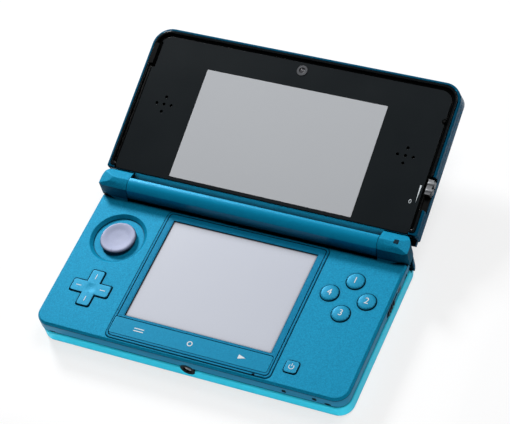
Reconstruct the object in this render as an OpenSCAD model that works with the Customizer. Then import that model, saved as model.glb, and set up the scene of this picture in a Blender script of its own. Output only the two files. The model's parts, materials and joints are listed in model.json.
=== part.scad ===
// Clamshell handheld game console with two screens, shown open against its stop.
// X runs to the right, Y to the back and Z up; the origin is the middle of the underside.

/* [Overall] */
// Width of the lower half
base_w = 133; // [130:0.5:138]
// Depth of the console when it is shut
case_d = 74; // [72:0.5:78]
// Thickness of the console when it is shut
shut_h = 21; // [20.6:0.1:24]
// Width of the lid beyond the lower half, both sides together
lid_extra_w = 1.8; // [0.4:0.1:2.4]
// Radius of the front corners seen from above
front_r = 5.8; // [4:0.1:8]
// Radius of the rear corners seen from above
rear_r = 8; // [6:0.1:9]

/* [Lower half] */
// Height of the clip-on bottom cover
cover_h = 6; // [5:0.1:6.4]
// Wall of the bottom cover
cover_wall = 1.1; // [0.8:0.05:1.5]
// Rounding of the cover's lower edge
cover_edge_r = 1.1; // [0.6:0.1:3]
// Chamfer of the cover's upper edge
cover_lip = 0.5; // [0.2:0.05:0.7]
// Height of the dark groove between cover and case
groove_h = 1; // [0.6:0.1:1.3]
// Depth of that groove
groove_d = 0.6; // [0.3:0.05:1]
// Amount that the sides of the case draw in towards the groove
band_taper = 0.6; // [0.1:0.05:0.6]
// Wall of the case
case_wall = 1.6; // [1.2:0.1:1.8]
// Height of the control plate's top face
plate_top = 12.24; // [12:0.02:12.3]
// Thickness of the control plate
plate_t = 1.3; // [1:0.05:1.5]
// Rounding of the control plate's top edge
plate_edge = 0.9; // [0.4:0.05:1.2]
// Thickness of the case's inner floor
floor_t = 0.6; // [0.5:0.05:0.8]
// Underside of the case's inner floor
floor_z = 7.1; // [7:0.05:7.3]

/* [Controls] */
// Width of the plate on each side of the raised frame
column_w = 31.3; // [30:0.1:32]
// Offset of the controls from the middle of that width, towards the middle
column_shift = 0.75; // [0:0.05:1]
// Distance of the slide pad's middle from the hinge axis
pad_back = 23.4; // [22:0.1:25]
// Diameter of the slide pad's cap
pad_d = 15; // [13:0.1:16]
// Diameter of the slide pad's hole at the plate's underside
pad_hole_d = 20.7; // [20:0.1:21.5]
// Width of the sloped rim round that hole
pad_rim = 1.4; // [0.8:0.1:1.6]
// Travel of the slide pad each way
pad_travel = 1.9; // [1:0.1:2]
// Distance of the direction pad's middle from the front
dpad_front = 20.2; // [19:0.1:22]
// Span of the direction pad
dpad_span = 16.8; // [15:0.1:18]
// Height of the direction pad above the plate
dpad_proud = 0.5; // [0.3:0.05:0.55]
// Width of one arm of the direction pad
dpad_arm = 5.7; // [5:0.1:6.5]
// Distance of the four round buttons' middle from the hinge axis
face_back = 24.9; // [23:0.1:26]
// Distance of each round button from their middle
face_offset = 7.65; // [7.3:0.05:8.2]
// Diameter of a round button
face_d = 7.4; // [6.8:0.1:7.8]
// Height of the controls above the plate
control_proud = 0.7; // [0.4:0.05:0.75]
// Distance of the power button's middle from the raised frame
power_gap = 6; // [5:0.1:8]
// Distance of the power button's middle from the front
power_front = 8.9; // [8:0.1:12]
// Width of the power button
power_w = 5.4; // [4.5:0.1:6]

/* [Lower screen] */
// Distance of the raised frame from the front of the case
frame_front_in = 1.4; // [1.2:0.1:2]
// Distance of the raised frame from the hinge axis
frame_back_in = 5.5; // [5.3:0.1:6.3]
// Height of the frame above the plate
frame_proud = 0.22; // [0.1:0.02:0.24]
// Radius of the frame's corners
frame_r = 2.5; // [1.5:0.1:3.5]
// Width of the frame beside the screen
frame_side = 3.6; // [3:0.1:5]
// Width of the frame behind the screen
frame_rear = 3.8; // [3:0.1:5]
// Depth of the touch panel below the frame
touch_sunk = 0.5; // [0.2:0.05:0.5]
// Thickness of the touch panel
touch_t = 0.8; // [0.6:0.1:1]
// Thickness of the lower screen module
lower_lcd_t = 2.2; // [1.8:0.1:2.4]
// Width of the frame at the ends of the strip with the three menu keys
strip_side = 1.5; // [1.2:0.1:3]
// Width of the frame in front of that strip
strip_front = 2.4; // [2:0.1:3]
// Depth of that strip, front to back
strip_d = 7.4; // [6:0.1:7.6]
// Width of the frame between the strip and the screen
strip_gap = 0.9; // [0.8:0.1:2]
// Offset of the strip to the left
strip_shift = 0.7; // [0:0.1:0.8]
// Distance between two menu keys
key_pitch = 22; // [18:0.5:24]
// Travel of the strip when it is pressed
strip_travel = 0.25; // [0.15:0.05:0.3]

/* [Hinge] */
// Angle between the halves when the lid rests on its stop
open_angle = 163.6; // [155:0.1:168]
// Distance of the hinge axis from the back of the case
hinge_in = 5.3; // [5.2:0.1:5.6]
// Height of the hinge axis
hinge_z = 14.95; // [14.9:0.01:15]
// Radius of the hinge barrel
barrel_r = 5.2; // [5:0.05:5.25]
// Slope at the foot of each fixed hinge housing
knuckle_foot = 0.7; // [0.4:0.05:0.75]
// Length of each fixed hinge housing
knuckle_len = 12.6; // [11:0.1:14]
// Radius of the hinge pins
pin_r = 2; // [1.5:0.1:2.4]
// Length of each hinge pin
pin_len = 17; // [14:0.5:20]
// Radial gap between the barrel and the case
trough_gap = 0.3; // [0.25:0.05:0.4]

/* [Lid] */
// Depth of the lid from the hinge axis to its far edge
lid_reach = 69.1; // [68.4:0.1:70]
// Distance of the lid's near edge from the hinge axis
lid_near = 5.3; // [5.3:0.05:5.5]
// Radius of the lid's far corners
lid_r = 7.8; // [5:0.1:9]
// Radius of the lid's near corners
lid_near_r = 1.2; // [0.8:0.1:2]
// Rounding of the lid's outer edge
lid_edge_r = 2.2; // [1:0.1:2.6]
// Rounding of the blue edge round the lid's inner face
lid_lip = 0.4; // [0.3:0.05:0.7]
// Wall of the lid's outer cover
lid_wall = 1.1; // [0.8:0.05:1.3]
// Height of the inner face above the hinge axis
panel_w = 1.73; // [1.6:0.01:1.8]
// Height of the lid's blue edge above the hinge axis
lid_edge_w = 2.1; // [1.8:0.05:2.2]
// Height of the rim above the hinge axis
rim_w = 2.4; // [2.2:0.05:2.42]
// Thickness of the front panel
panel_t = 1.1; // [0.8:0.05:1.2]
// Near edge of the front panel from the hinge axis
panel_near = 5.8; // [5.8:0.05:6]
// Distance of the front panel from the sides and the far edge of the lid
panel_in = 3.5; // [3:0.1:5]
// Radius of the front panel's far corners
panel_r = 5; // [2:0.1:6]
// Width of the blue edge left outside the black rim
rim_edge = 1.1; // [0.8:0.05:1.4]
// Thickness of the black rim's wall
rim_wall = 0.9; // [0.6:0.05:1.1]
// Depth of the groove between the rim and the panel
rim_groove = 0.75; // [0.4:0.05:0.9]

/* [Upper screen] */
// Width of the upper screen window
upper_w = 79.2; // [76:0.1:81]
// Distance of the window from the lid's far edge
upper_far = 14.4; // [13.6:0.1:17]
// Near edge of the window from the hinge axis
upper_near = 7.1; // [6.9:0.1:7.6]
// Thickness of the upper screen module
upper_lcd_t = 3.6; // [3:0.1:4]
// Distance of each speaker from the side of the lid
speaker_in = 14.6; // [12:0.1:16]
// Distance of the speakers from the hinge axis
speaker_v = 36.3; // [30:0.1:40]
// Spacing of the speaker holes
speaker_pitch = 3.25; // [2.6:0.05:3.6]
// Diameter of a speaker hole
speaker_hole_d = 1.3; // [0.8:0.1:1.6]
// Distance of the cameras from the lid's far edge
camera_in = 6.9; // [6.6:0.1:8]
// Diameter of a camera ring
camera_d = 4.4; // [3.6:0.1:4.8]
// Distance between the two outer cameras
camera_gap = 35; // [30:0.5:40]
// Near end of the depth slider's channel from the hinge axis
channel_near = 16.1; // [14:0.1:18]
// Length of the depth slider's channel
channel_len = 14; // [12:0.1:16]
// Length of the depth slider's knob
knob_len = 6.3; // [5:0.1:7]
// Rest place of the knob from the channel's near end
knob_rest = 6.6; // [5:0.1:7.3]
// Depth of the depth slider's channel from the side of the lid
channel_in = 2.6; // [2:0.1:3]

/* [Shoulder buttons] */
// Width of the rear wall between the shoulder buttons
rear_wall_w = 87; // [84:0.5:92]
// Distance of a shoulder button's front end from the back
shoulder_reach = 7; // [6:0.1:9]
// Wall of a shoulder button
shoulder_t = 1.8; // [1.4:0.1:2.2]
// Underside of the shoulder buttons
shoulder_z = 4.2; // [4:0.1:4.6]
// Height of a shoulder button along the back
shoulder_h = 4.6; // [4:0.1:4.7]
// Height of a shoulder button round the corner
shoulder_corner_h = 6; // [5:0.1:6.1]
// Radius of the pins that the shoulder buttons turn on
shoulder_pin_r = 0.8; // [0.6:0.05:1]

/* [Slots and sockets] */
// Width of the game card slot
card_w = 33.6; // [33:0.1:35]
// Height of the game card slot
card_h = 4.2; // [4.1:0.05:4.3]
// Depth of the game card slot
card_d = 34; // [30:0.5:35]
// Bore of the headphone socket
jack_bore_d = 3.6; // [3.5:0.05:3.7]
// Outer diameter of the headphone socket
jack_d = 5.9; // [5.4:0.1:6.4]
// Height of the headphone socket's axis
jack_z = 5.4; // [5.2:0.1:5.6]
// Depth of the headphone socket
jack_len = 14; // [13:0.5:16]
// Diameter of the stylus
stylus_d = 4.6; // [4:0.1:4.8]
// Length of the stylus
stylus_len = 58; // [50:1:62]
// Distance of the stylus from the card slot
stylus_gap = 9.2; // [8:0.1:12]
// Height of the stylus above the underside
stylus_z = 4.4; // [4:0.1:4.6]
// Width of the memory card slot
memory_w = 24.6; // [24.2:0.1:26]
// Height of the memory card slot
memory_h = 2.4; // [2.2:0.1:2.6]
// Distance of the memory card slot's middle from the back
memory_back = 26; // [24:0.5:30]
// Height of the memory card slot above the underside
memory_z = 3; // [2.8:0.1:3.2]
// Depth of the memory card slot
memory_d = 30; // [26:0.5:32]
// Distance of the charging socket from the card slot
charge_gap = 11.2; // [10.8:0.1:12]
// Width of the charging socket's opening
charge_w = 8; // [7:0.1:8.4]
// Distance of the infrared window from the shoulder button
infrared_gap = 6; // [4.5:0.1:6.5]
// Near end of the wireless switch's slot from the back
wireless_back = 32.2; // [30:0.1:36]
// Height of the two side switches above the underside
switch_z = 7.9; // [7.8:0.05:8.2]
// Height of the two side switches
switch_h = 2; // [1.6:0.1:2.2]
// Length of the wireless switch's slot
wireless_slot = 10.9; // [10:0.1:12]
// Length of the wireless switch
wireless_len = 7.4; // [6:0.1:8]
// Distance of the volume slider's slot from the front
volume_front = 13; // [10:0.5:16]
// Length of the volume slider's slot
volume_slot = 14; // [12:0.5:16]
// Length of the volume slider
volume_len = 6; // [5:0.5:7]

/* [Lights] */
// Height of the lights in the front edge
light_z = 9.1; // [8.8:0.05:9.4]
// Distance of the power light from the side
power_light_in = 25.45; // [20:0.05:30]
// Distance of the charge light from the side
charge_light_in = 13.1; // [10:0.05:18]
// Width of a light in the front edge
light_w = 1.3; // [1:0.1:2]
// Width of the notice light in the right hinge housing
notice_w = 1.7; // [1.2:0.1:2.2]
// Distance of the notice light from the side
notice_in = 5.1; // [4.8:0.1:7]

/* [Inside] */
// Distance of the battery from the side
battery_side = 7; // [6.5:0.1:9]
// Distance of the battery from the card slot
battery_gap = 6.7; // [6:0.1:9]
// Length of the battery, front to back
battery_d = 40; // [34:0.5:42]
// Thickness of the battery
battery_t = 5; // [4:0.1:5.2]
// Thickness of the circuit board
board_t = 0.7; // [0.5:0.05:0.8]
// Distance of the front case screws from the sides
screw_side = 8.5; // [8:0.1:10]
// Distance of the front case screws from the front
screw_front = 7; // [6.5:0.1:10]
// Distance of the rear case screws from the card slot
screw_gap = 4.2; // [3.6:0.1:5]
// Distance of the rear case screws from the back
screw_back = 12; // [11:0.1:14]
// Radius of a screw's thread
screw_r = 1; // [0.8:0.05:1.1]
// Radius of a screw boss
boss_r = 2.4; // [2:0.1:2.8]
// Width of a speaker
speaker_w = 13; // [10:0.5:14]
// Length of a speaker
speaker_d = 19; // [14:0.5:20]
// Thickness of a speaker
speaker_t = 2.6; // [2:0.1:3]
// Width of a camera's body
camera_body = 6; // [5:0.1:7]

/* [Fits] */
// Gap between pieces that are assembled
fit = 0.1; // [0.05:0.01:0.15]
// Radial gap of a turning or sliding fit
run_fit = 0.05; // [0.02:0.01:0.09]
// Gap round a moving control
play = 0.25; // [0.2:0.01:0.3]

/* [Hidden] */
$fn = 48;

base_hw = base_w / 2;
front_y = -case_d / 2;
back_y = case_d / 2;
hinge_y = back_y - hinge_in;
shell_in = 0.2;
bump_out = 0.4;
body_back = back_y - bump_out;
case_hw = base_hw - shell_in;
case_front = front_y + shell_in;
case_top = plate_top - plate_t;
inner_floor = floor_z + floor_t;
band_z = cover_h + fit + groove_h;
band_rise = 2.1;
cover_in = 0.2;
cover_front_r = front_r + 0.2;
control_top = plate_top + control_proud;
column_in = column_w / 2 + column_shift;
left_x = column_in - base_hw;
right_x = base_hw - column_in;
pad_y = hinge_y - pad_back;
dpad_y = front_y + dpad_front;
face_y = hinge_y - face_back;
frame_w = base_w - 2 * column_w;
frame_front = front_y + frame_front_in;
frame_back = hinge_y - frame_back_in;
frame_mid = (frame_front + frame_back) / 2;
frame_d = frame_back - frame_front;
frame_top = plate_top + frame_proud;
strip_w = frame_w - 2 * strip_side;
strip_y = frame_front + strip_front + strip_d / 2;
touch_w = frame_w - 2 * frame_side;
touch_front = frame_front + strip_front + strip_d + strip_gap;
touch_back = frame_back - frame_rear;
touch_d = touch_back - touch_front;
touch_y = (touch_back + touch_front) / 2;
touch_top = frame_top - touch_sunk;
touch_z = touch_top - touch_t;
lower_lcd_z = touch_z - lower_lcd_t;
strip_top = frame_top - 0.08;
strip_t = 0.9;
strip_z = strip_top - strip_t;
power_x = frame_w / 2 + power_gap;
power_y = front_y + power_front;
tilt = 180 - open_angle;
lid_hw = base_hw + lid_extra_w / 2;
lid_back_w = hinge_z - shut_h;
frame_low_w = -0.5;
knuckle_x = base_hw + bump_out - knuckle_len;
barrel_hw = knuckle_x - fit;
trough_r = barrel_r + trough_gap;
plate_back = hinge_y - sqrt(pow(trough_r, 2) - pow(hinge_z - plate_top, 2));
shoulder_x = rear_wall_w / 2;
shoulder_front = back_y - shoulder_reach;
shoulder_out = 0.7;
shoulder_step_x = knuckle_x;
shoulder_pin_room = 2.1;
shoulder_pivot_x = shoulder_x + 2.4;
shoulder_pivot_y = body_back - 2.6;
board_z = inner_floor + 0.15;
board_top = board_z + board_t;
card_z = cover_wall + 1.35;
card_t = 0.3;
stylus_x = -(card_w / 2 + stylus_gap);
memory_y = back_y - memory_back;
charge_x = card_w / 2 + charge_gap;
charge_z = 4.7;
charge_h = 2.8;
mic_x = touch_w / 2 - 3;
infrared_x = shoulder_x - infrared_gap;
infrared_z = 4.9;
wireless_y = back_y - wireless_back;
wireless_light_y = wireless_y + 12.8;
light_side_z = switch_z + switch_h / 2;
volume_y = front_y + volume_front;
pad_skirt_r = column_in - shell_in - case_wall - play - pad_travel;
pad_stem_r = 5.6;
pad_pin_r = 2;
pad_skirt_z = case_top - 0.84;
pad_skirt_t = 0.6;
pad_frame_w = 2 * pad_skirt_r + 2.5;
pad_frame_d = 2 * pad_skirt_r + fit;
pad_slot_w = pad_frame_w - 1.8;
pad_slot_d = pad_d + 2;
carriage_w = pad_slot_w - 2 * pad_travel - 0.8;
carriage_d = pad_slot_d - 0.4;
boss_z = cover_wall + 1.7;
battery_low_x = card_w / 2 + battery_gap;
battery_high_x = base_hw - battery_side;
battery_w = battery_high_x - battery_low_x;
battery_x = (battery_low_x + battery_high_x) / 2;
battery_y = -2;
panel_hw = lid_hw - panel_in;
panel_far = lid_reach - panel_in;
seat_w = panel_w - panel_t - fit;
groove_w = panel_w - rim_groove;
seat_in = panel_in + 1.3;
rest_w = 1.85;
rest_l = 9.1;
rest_x = rest_w / 2 + 1.6 - lid_hw;
rest_v = lid_reach - 12.15;
stud_r = 0.55;
stud_x = lid_hw - 3.65;
stud_v = lid_reach - 16.1;
upper_d = lid_reach - upper_far - upper_near;
upper_v = upper_near + upper_d / 2;
speaker_x = lid_hw - speaker_in;
camera_v = lid_reach - camera_in;
camera_r = camera_d / 2;
channel_w = -1.2;
notice_x = base_hw - notice_in;
notice_y = hinge_y - 0.5;
rear_screw_x = card_w / 2 + screw_gap;
front_screw_x = base_hw - screw_side;
cover_screw_x = charge_x + 10;
cover_screw_in = 10;
catch_w = 2.4;
catch_h = 1.5;
screw_catch_y = back_y - screw_back - 1.2;
jack_box_w = 6;
jack_box_h = 5.2;
CASE_SCREWS = [
  [-front_screw_x, front_y + screw_front], [front_screw_x, front_y + screw_front],
  [-rear_screw_x, back_y - screw_back], [rear_screw_x, back_y - screw_back]
];
COVER_SCREWS = [for (s = [-1, 1]) [s * cover_screw_x, back_y - cover_screw_in]];
// Chips on the board: place of the left front corner, width and depth
CHIPS = [[-14, -14, 14, 14], [4, -14, 11, 11], [-12, 6, 9, 7], [6, 4, 12, 10]];
// Angles of the barrel's edges round the hinge axis, from the lid's far side
BARREL_EDGES = [81.5, 104.5, 130, 173.6];
eps = 0.01;

// Outline of the lower half seen from above, drawn in by the given distance
module outline(in) {
  hw = case_hw - in;
  y0 = case_front + in;
  y1 = body_back - in;
  rf = max(front_r - in, 0.4);
  rr = max(rear_r - in, 0.4);
  hull_free_outline(hw, y0, y1, rf, rr);
}

// Rectangle with arcs of one radius in front and another at the back
module hull_free_outline(hw, y0, y1, rf, rr) {
  translate([-hw, y0 + rf]) square([2 * hw, y1 - rr - y0 - rf]);
  translate([-hw + rf, y0]) square([2 * (hw - rf), rf + eps]);
  translate([-hw + rr, y1 - rr - eps]) square([2 * (hw - rr), rr + eps]);
  for (s = [-1, 1]) {
    translate([s * (hw - rf), y0 + rf]) circle(r = rf);
    translate([s * (hw - rr), y1 - rr]) circle(r = rr);
  }
}

// Rounded rectangle round the origin
module rounded(w, d, r) {
  translate([-w / 2 + r, -d / 2]) square([w - 2 * r, d]);
  translate([-w / 2, -d / 2 + r]) square([w, d - 2 * r]);
  for (sx = [-1, 1], sy = [-1, 1])
    translate([sx * (w / 2 - r), sy * (d / 2 - r)]) circle(r = r);
}

// Rounded block standing on z
module slab(x, y, z, w, d, h, r) {
  translate([x, y, z]) linear_extrude(h) rounded(w, d, r);
}

// Block given by its lowest corner and its size
module block(x, y, z, w, d, h) {
  translate([x, y, z]) cube([w, d, h]);
}

// Cylinder along X
module rod_x(x, y, z, r, l) {
  translate([x, y, z]) rotate([0, 90, 0]) cylinder(r = r, h = l);
}

// Cylinder along Y
module rod_y(x, y, z, r, l) {
  translate([x, y, z]) rotate([-90, 0, 0]) cylinder(r = r, h = l);
}

// Profile along X with rounded lower corners, for moulded trays
module tray_section(hw, z0, z1, r) {
  translate([-hw, z0 + r]) square([2 * hw, z1 - z0 - r]);
  translate([-hw + r, z0]) square([2 * (hw - r), r + eps]);
  for (s = [-1, 1]) translate([s * (hw - r), z0 + r]) circle(r = r);
}

// Half of a moulded section out to r: rounded below, with a chamfer of the given fall and run
module half_section(r, z0, z1, low, fall, run) {
  polygon([[0, z0], [r - low, z0], [r, z0 + low], [r, z1 - fall], [r - run, z1], [0, z1]]);
  if (low > 0) translate([r - low, z0 + low]) circle(r = low);
}

// Moulded slab with one radius of its corners in front and another at the back
module moulded(hw, y0, y1, rf, rr, z0, z1, low, fall, run) {
  for (a = [0, 1]) mirror([a, 0, 0]) {
    translate([0, y1 - rr, 0]) rotate([90, 0, 0]) linear_extrude(y1 - rr - y0 - rf)
      half_section(hw, z0, z1, low, fall, run);
    translate([hw - rf, y0 + rf, 0]) rotate([0, 0, -90]) rotate_extrude(angle = 90)
      half_section(rf, z0, z1, low, fall, run);
    translate([hw - rr, y1 - rr, 0]) rotate_extrude(angle = 90)
      half_section(rr, z0, z1, low, fall, run);
    translate([hw - rf, y0 + rf, 0]) rotate([90, 0, -90]) linear_extrude(hw - rf)
      half_section(rf, z0, z1, low, fall, run);
    translate([0, y1 - rr, 0]) rotate([90, 0, 90]) linear_extrude(hw - rr)
      half_section(rr, z0, z1, low, fall, run);
  }
}

// Moulded slab on the outline of the lower half
module body_slab(z0, z1, low, fall, run) {
  moulded(case_hw, case_front, body_back, front_r, rear_r, z0, z1, low, fall, run);
}

// Solid tray body: outline from above, rounded lower edges on all four sides
module tray(in, z0, z1, r) {
  intersection() {
    translate([0, 0, z0]) linear_extrude(z1 - z0) outline(in);
    translate([0, back_y + 1, 0]) rotate([90, 0, 0])
      linear_extrude(case_d + 2) tray_section(case_hw - in, z0, z1, r);
    translate([-base_hw - 1, (case_front + body_back) / 2, 0]) rotate([90, 0, 90])
      linear_extrude(base_w + 2)
        tray_section((body_back - case_front) / 2 - in, z0, z1, r);
  }
}

// Puts what is drawn in the lid's own frame, along and above the hinge axis, in its open place
module in_lid() {
  translate([0, hinge_y, hinge_z]) rotate([tilt, 0, 0]) children();
}

// Outline of the lid in its own frame, drawn in by the given distance
module lid_outline(in) {
  hull_free_outline(lid_hw - in, lid_near + in, lid_reach - in, lid_near_r,
    max(lid_r - in, 0.4));
}

// Clear space for the barrel along the whole lower half
module trough() {
  rod_x(-barrel_hw - 0.1, hinge_y, hinge_z, trough_r, 2 * barrel_hw + 0.2);
  block(-barrel_hw - 0.1, hinge_y, hinge_z - trough_r, 2 * barrel_hw + 0.2, back_y, 20);
}

// Space that a shoulder button and its travel need at a rear corner
module shoulder_space(s) {
  reach = shoulder_t + shoulder_pin_room;
  z = shoulder_z - 0.2;
  mirror([s < 0 ? 1 : 0, 0, 0]) {
    translate([0, 0, z]) linear_extrude(shoulder_h + 0.35) difference() {
      translate([shoulder_x - 0.3, shoulder_front - 1.5]) square([40, 20]);
      outline(reach);
    }
    translate([0, 0, z]) linear_extrude(shoulder_corner_h + 0.35) difference() {
      translate([shoulder_step_x - 0.1, shoulder_front - 1.5]) square([40, 20]);
      outline(reach);
    }
    translate([shoulder_pivot_x, shoulder_pivot_y, z])
      cylinder(r = shoulder_pin_room, h = shoulder_h + 0.35);
  }
}

// Corner of the lower half behind a shoulder button, seen from above
module shoulder_corner() {
  for (s = [-1, 1]) mirror([s < 0 ? 1 : 0, 0, 0])
    translate([shoulder_x - 1.5, shoulder_front - 3]) square([40, 20]);
}

module bottom_cover() {
  color("turquoise") difference() {
    union() {
      difference() {
        moulded(case_hw - cover_in, case_front, body_back, cover_front_r, rear_r, 0, cover_h,
          cover_edge_r, cover_lip, cover_lip);
        tray(cover_wall, cover_wall, cover_h + 1, 0.4);
      }
      for (p = COVER_SCREWS) translate([p[0], p[1], 0.5])
        cylinder(r = boss_r + 0.8, h = boss_z - 0.7);
    }
    for (s = [-1, 1]) mirror([s < 0 ? 1 : 0, 0, 0])
      block(shoulder_x - 0.5, shoulder_front - 1.2, shoulder_z - 0.2, base_hw, 20, 10);
    block(-shoulder_x + 0.5, body_back - 6, cover_wall + 1, 2 * shoulder_x - 1, 10, 10);
    rod_y(0, front_y - 1, jack_z, jack_d / 2 + fit, 6);
    rod_y(stylus_x, body_back - 5, stylus_z, stylus_d / 2 + 0.85, 10);
    block(-base_hw - 1, memory_y - memory_w / 2 - 1.2, memory_z - 0.9, 4,
      memory_w + 2.4, cover_h);
    for (p = COVER_SCREWS) translate([p[0], p[1], -1]) {
      cylinder(r = screw_r + fit, h = 8);
      cylinder(r = boss_r - 0.3, h = 2.6);
    }
  }
}

module cover_screws() {
  color("silver") for (p = COVER_SCREWS) translate([p[0], p[1], 0.15]) difference() {
    union() {
      cylinder(r = boss_r - 0.4, h = 1.4);
      cylinder(r = screw_r, h = floor_z - 0.3);
    }
    cross_slot(1.3, 0.5, 0.8);
  }
}

// Cross recess of a screw head, cut from below
module cross_slot(reach, width, depth) {
  for (a = [0, 90]) rotate(a)
    translate([-reach, -width / 2, -0.1]) cube([2 * reach, width, depth + 0.1]);
}

module lower_case() {
  color("steelblue") difference() {
    union() {
      // wall above the cover, with the dark groove under it
      translate([0, 0, cover_h + fit]) linear_extrude(groove_h + eps) outline(groove_d);
      intersection() {
        translate([0, 0, band_z]) linear_extrude(case_top - band_z) outline(0);
        translate([0, back_y, 0]) rotate([90, 0, 0]) linear_extrude(case_d)
          polygon([[case_hw - band_taper, band_z], [case_hw, band_z + band_rise],
            [case_hw, case_top + 1], [-case_hw, case_top + 1], [-case_hw, band_z + band_rise],
            [-case_hw + band_taper, band_z]]);
      }
      // channel of the stylus, block of the rear sockets, corners, screw bosses
      under_floor(cover_wall + 1.2) translate([-shoulder_x + 0.8, body_back - 3])
        square([2 * shoulder_x - 1.6, 3]);
      under_floor(cover_wall + 1.5) intersection() {
        outline(cover_wall + 0.2);
        shoulder_corner();
      }
      rod_y(stylus_x, body_back - stylus_len - 2, stylus_z, stylus_d / 2 + 0.7,
        stylus_len + 2);
      under_floor(boss_z) screw_circles(boss_r);
    }
    // room for the board and the screen
    difference() {
      translate([0, 0, inner_floor]) linear_extrude(10) outline(case_wall);
      block(-base_hw, plate_back - case_wall, 0, base_w, 30, 30);
    }
    // space under the floor, open to the cover
    linear_extrude(floor_z) difference() {
      outline(case_wall + 0.2);
      translate([-shoulder_x + 0.8, body_back - 3]) square([2 * shoulder_x - 1.6, 10]);
      translate([stylus_x - 3, body_back - stylus_len - 2]) square([6, stylus_len + 4]);
      screw_circles(boss_r);
      shoulder_corner();
    }
    translate([0, 0, -1]) linear_extrude(inner_floor + 2) screw_circles(screw_r + run_fit);
    trough();
    // room for the lip of the open lid
    block(-base_hw - 1, hinge_y + 3.7, case_top - 0.7, base_w + 2, 20, 5);
    for (s = [-1, 1]) shoulder_space(s);
    rear_cuts();
    side_cuts();
  }
}

// What reaches down from the case's inner floor to the given height
module under_floor(z) {
  translate([0, 0, z]) linear_extrude(floor_z + 0.1 - z) children();
}

// Circles at the places of all the screws
module screw_circles(r) {
  for (p = concat(CASE_SCREWS, COVER_SCREWS)) translate([p[0], p[1]]) circle(r = r);
}

// Openings in the rear wall: card slot, stylus, charging socket and infrared window
module rear_cuts() {
  block(-card_w / 2 - 0.5, body_back - card_d - 3, card_z - card_t - fit, card_w + 1, card_d + 6,
    card_h + 2 * card_t + 2 * fit);
  rod_y(stylus_x, body_back - stylus_len - 1, stylus_z, stylus_d / 2 + run_fit, stylus_len + 3);
  rod_y(stylus_x, body_back - 1.2, stylus_z, stylus_d / 2 + 0.55, 3);
  block(charge_x - charge_w / 2, body_back - 6, charge_z - charge_h / 2, charge_w, 8, charge_h);
  slab_y(infrared_x, body_back - 2, infrared_z, 7, 3, 3, 0.8);
}

// Rounded bar along Y, given by the middle of its front end
module slab_y(x, y, z, w, h, l, r) {
  translate([x, y, z]) rotate([-90, 0, 0]) linear_extrude(l) rounded(w, h, r);
}

// Openings in the front and side walls
module side_cuts() {
  rod_y(0, front_y - 1, jack_z, jack_d / 2 + fit, 6);
  block(-jack_box_w / 2 - fit, case_front + 1.3, jack_z - jack_box_h / 2 - fit,
    jack_box_w + 2 * fit, jack_len, jack_box_h + 2 * fit);
  for (x = [base_hw - power_light_in, base_hw - charge_light_in])
    slab_y(x, front_y - 1, light_z, light_w + 0.2, 1, 4, 0.3);
  for (s = [-1, 1])
    block(s * (front_screw_x + 0.8) - catch_w / 2, front_y - 1, cover_h, catch_w, 1.9, catch_h);
  block(base_hw - 1.2, screw_catch_y, cover_h, 3, catch_w, catch_h);
  block(base_hw - 3, wireless_y, switch_z, 6, wireless_slot, switch_h);
  slab_x(base_hw - 3, wireless_light_y, light_side_z, 2.6, 1.8, 6, 0.3);
  block(-base_hw - 3, volume_y, switch_z, 6, volume_slot, switch_h);
}

// Rounded bar along X, given by the middle of its left end
module slab_x(x, y, z, w, h, l, r) {
  translate([x, y, z]) rotate([90, 0, 90]) linear_extrude(l) rounded(w, h, r);
}

module case_screws() {
  color("dimgray") for (p = CASE_SCREWS) translate([p[0], p[1], boss_z - 1.25]) difference() {
    union() {
      cylinder(r = boss_r - 0.6, h = 1.2);
      cylinder(r = screw_r, h = floor_z - boss_z + 1);
    }
    cross_slot(1.2, 0.45, 0.6);
  }
}

// Section of a fixed hinge housing in the Y-Z plane
module knuckle_section() {
  y = hinge_y;
  z = hinge_z;
  facets = [for (a = BARREL_EDGES) [y + barrel_r * cos(a + tilt), z + barrel_r * sin(a + tilt)]];
  intersection() {
    union() {
      translate([y, z]) circle(r = barrel_r);
      translate([y - barrel_r, case_top]) square([barrel_r + 3.2, z - case_top]);
      polygon([[y - barrel_r - knuckle_foot, plate_top - 0.3],
        [y - barrel_r - knuckle_foot, plate_top], [y - barrel_r, plate_top + knuckle_foot],
        facets[2], facets[1], facets[0], [y + 0.2, plate_top - 0.3]]);
    }
    polygon([[y - 7, case_top], [y + barrel_r, case_top], [y + barrel_r, z + 1],
      [y + 5, z + 2.4], [y + 3.2, z + 4.1], facets[0], facets[1], facets[2],
      [y - barrel_r, plate_top + knuckle_foot], [y - barrel_r - knuckle_foot, plate_top]]);
  }
}

// One fixed hinge housing, its outer end cut by two sloping faces
module knuckle(s) {
  mirror([s < 0 ? 1 : 0, 0, 0]) intersection() {
    translate([knuckle_x, 0, 0]) rotate([90, 0, 90])
      linear_extrude(knuckle_len) knuckle_section();
    linear_extrude(40)
      hull_free_outline(base_hw + bump_out, front_y, back_y - 0.1, front_r, rear_r - 1.5);
    translate([base_hw - 4.5, hinge_y + 0.3, hinge_z + barrel_r - 0.05])
      rotate([9.4, 13.4, 0]) translate([-40, -60, -40]) cube([80, 120, 40]);
    translate([base_hw - 4.3, hinge_y - barrel_r, 0]) rotate([0, 0, 16])
      translate([-40, 0, 0]) cube([80, 60, 40]);
  }
}

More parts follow.
